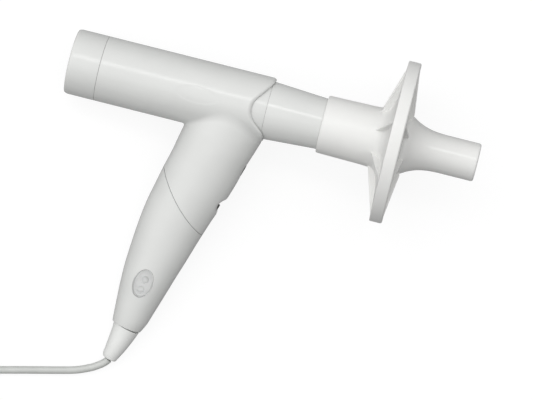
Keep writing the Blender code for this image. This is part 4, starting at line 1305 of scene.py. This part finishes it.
# %% Strap
STRAP_WIDTH = 9.0
STRAP_THICKNESS = 0.7
STRAP_EDGE = 0.15
STRAP_CORNER = 1.6
COIL_SIDE = 3.0 * CORD
high = COIL_SIDE + 0.8
wide = COIL_SIDE + 1.8
ends = (STRAP_EDGE, STRAP_WIDTH - STRAP_EDGE)
band_rows = []
for grow, along in ((0.0, ends[0]), (STRAP_THICKNESS, ends[0]), (STRAP_THICKNESS, ends[1]),
                    (0.0, ends[1])):
    outline = rounded(wide + 2.0 * grow, high + 2.0 * grow, STRAP_CORNER + grow, 8)
    band_rows.append([(along - STRAP_WIDTH / 2.0, y, z) for y, z in outline])
band = moved(bevelled(skin("band", band_rows), STRAP_EDGE), Matrix.Translation((
    COIL_CENTRE[0], COIL_CENTRE[1] + COIL_MEAN, COIL_FLOOR + COIL_SIDE / 2.0)))
coil_strap = add_piece("coil_strap", band, STRAP, "housing", ["cord_tie"], table)
print("strap", round(wide, 1), "x", round(high, 1), "mm inside")

# %% Cord
data_cord.data.materials.append(CORD_PVC)
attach(data_cord, "housing")
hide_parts("cord_run", "cord_coil", "cord_tail")

# %% [markdown]
# ## Finishes for the pieces that stay
# The pieces inside the handle keep the solid model's meshes. Each takes the finish of its slot.

# %% Finishes of the inner pieces
FINISHES = {"housing_abs": ABS, "filter_polypropylene": POLYPROPYLENE, "filter_fleece": FLEECE,
            "seal_silicone": SILICONE, "control_grey": NYLON, "clear_polycarbonate": POLYCARBONATE,
            "board_laminate": SOLDER_MASK, "chip_resin": RESIN, "steel": STEEL,
            "plate_steel": STAINLESS, "cord_pvc": CORD_PVC}
for part in frame["record"]["subparts"]:
    slots = NODES[part["node"]].data.materials
    slots.clear()
    slots.append(FINISHES[part["material_slot"]])

# %% [markdown]
# ## The light
# A round tube mirrors a lamp in a line only if the lamp stands square to the tube. The photograph has
# such a line along the barrel, the nose and the port, so there is a narrow strip lamp along the tube,
# a little above the camera. A second, softer lamp at the left draws the broad sheen down the handle.
# The rest is a pale room, brightest behind the camera and a little to its upper left, so that the
# lower and right sides go grey towards the outline. The camera and the window see the room white. What
# mirrors it sees it as it is, because the photograph's outlines are dark.

# %% Lamps
LAMP_DISTANCE = 1.3
STRIP_SIZE = (1.3, 0.22)
STRIP_POWER = 2.2
SOFT_SIZE = (1.5, 1.2)
SOFT_POWER = 2.2


def seen(rightward, upward, forward):
    """Turns a direction seen in the picture into one in the world."""
    return (right * rightward + up * upward + towards_camera * forward).normalized()


def add_lamp(name, direction, size, power):
    """Adds an area lamp that faces the object, with its long side along the tube."""
    data = bpy.data.lights.new(name, "AREA")
    data.shape = "RECTANGLE"
    data.size, data.size_y = size
    data.energy = power
    long_side = (tube_line - direction * tube_line.dot(direction)).normalized()
    turned_to = Matrix((long_side, direction.cross(long_side), direction)).transposed().to_4x4()
    lamp = bpy.data.objects.new(name, data)
    lamp.matrix_world = Matrix.Translation(centre + direction * LAMP_DISTANCE) @ turned_to
    bpy.context.scene.collection.objects.link(lamp)


add_lamp("strip", seen(0.017, 0.382, 0.925), STRIP_SIZE, STRIP_POWER)
add_lamp("soft_left", seen(-0.48, 0.16, 0.85), SOFT_SIZE, SOFT_POWER)
print("lamps:", len(bpy.data.lights))

# %% World
WORLD_BRIGHT = 1.19
WORLD_DIM = 0.20
BRIGHT_SIDE = seen(-0.24, 0.34, 1.0)
world = bpy.data.worlds.new("pale_room")
world.use_nodes = True
bpy.context.scene.world = world
sky = world.node_tree
background = sky.nodes["Background"]
background.inputs["Color"].default_value = (1.0, 1.0, 1.0, 1.0)
view_line = add_node(sky, "ShaderNodeTexCoord").outputs["Generated"]
side = add_node(sky, "ShaderNodeVectorMath", {0: view_line, 1: tuple(BRIGHT_SIDE)},
                operation="DOT_PRODUCT")
fade = add_node(sky, "ShaderNodeMapRange", {"Value": side.outputs["Value"], "From Min": 0.0,
                "From Max": 1.0, "To Min": WORLD_DIM, "To Max": WORLD_BRIGHT})
rays = add_node(sky, "ShaderNodeLightPath")
straight = add_node(sky, "ShaderNodeMath", {0: rays.outputs["Is Camera Ray"],
                                            1: rays.outputs["Is Transmission Ray"]}, operation="MAXIMUM")
level = add_node(sky, "ShaderNodeMix", {"Factor": straight.outputs[0], "A": fade.outputs["Result"],
                                        "B": 1.0})
sky.links.new(level.outputs["Result"], background.inputs["Strength"])
print("the room is brightest towards", [round(value, 2) for value in BRIGHT_SIDE])

# %% [markdown]
# ## The floor
# The object lies on a white sheet. The sheet is lifted to white for the camera by a glow that only
# straight, mirrored and refracted rays see, so the lamps needn't be strong enough to burn it out. The
# mirrored part of the glow is weaker, because the photograph's outlines are dark and not lit from below.
# The rest of its white comes from the lamps and the room, so the object's shadow still shows, faintly.

# %% Floor
FLOOR_SIZE = 6.0
FLOOR_HEIGHT = -0.0001
FLOOR_GLOW = 0.87
MIRRORED_GLOW = 0.35
corners = [(FLOOR_SIZE / 2.0 * x, FLOOR_SIZE / 2.0 * y, FLOOR_HEIGHT)
           for x, y in ((-1, -1), (1, -1), (1, 1), (-1, 1))]
floor_mesh = bpy.data.meshes.new("floor")
floor_mesh.from_pydata(corners, [], [(0, 1, 2, 3)])
floor = as_object("floor", floor_mesh)
paper = bpy.data.materials.new("white_paper_sheet")
paper.use_nodes = True
sheet = paper.node_tree
diffuse = sheet.nodes["Principled BSDF"]
diffuse.inputs["Base Color"].default_value = to_linear("#707070")
diffuse.inputs["Roughness"].default_value = 1.0
diffuse.inputs["Specular IOR Level"].default_value = 0.0
diffuse.inputs["Emission Color"].default_value = (1.0, 1.0, 1.0, 1.0)
rays = add_node(sheet, "ShaderNodeLightPath")
mirrored = add_node(sheet, "ShaderNodeMath", {0: rays.outputs["Is Glossy Ray"], 1: MIRRORED_GLOW},
                    operation="MULTIPLY")
seen_rays = add_node(sheet, "ShaderNodeMath", {0: rays.outputs["Is Camera Ray"],
                                               1: mirrored.outputs[0]}, operation="MAXIMUM")
seen_rays = add_node(sheet, "ShaderNodeMath", {0: seen_rays.outputs[0],
                                               1: rays.outputs["Is Transmission Ray"]}, operation="MAXIMUM")
glow = add_node(sheet, "ShaderNodeMath", {0: seen_rays.outputs[0], 1: FLOOR_GLOW}, operation="MULTIPLY")
sheet.links.new(glow.outputs[0], diffuse.inputs["Emission Strength"])
floor_mesh.materials.append(paper)
print("floor", FLOOR_SIZE, "m wide")

# %% [markdown]
# ## Last settings
# The Standard view transform shows a colour as it is written.

# %% Finish
bpy.context.scene.view_settings.view_transform = "Standard"
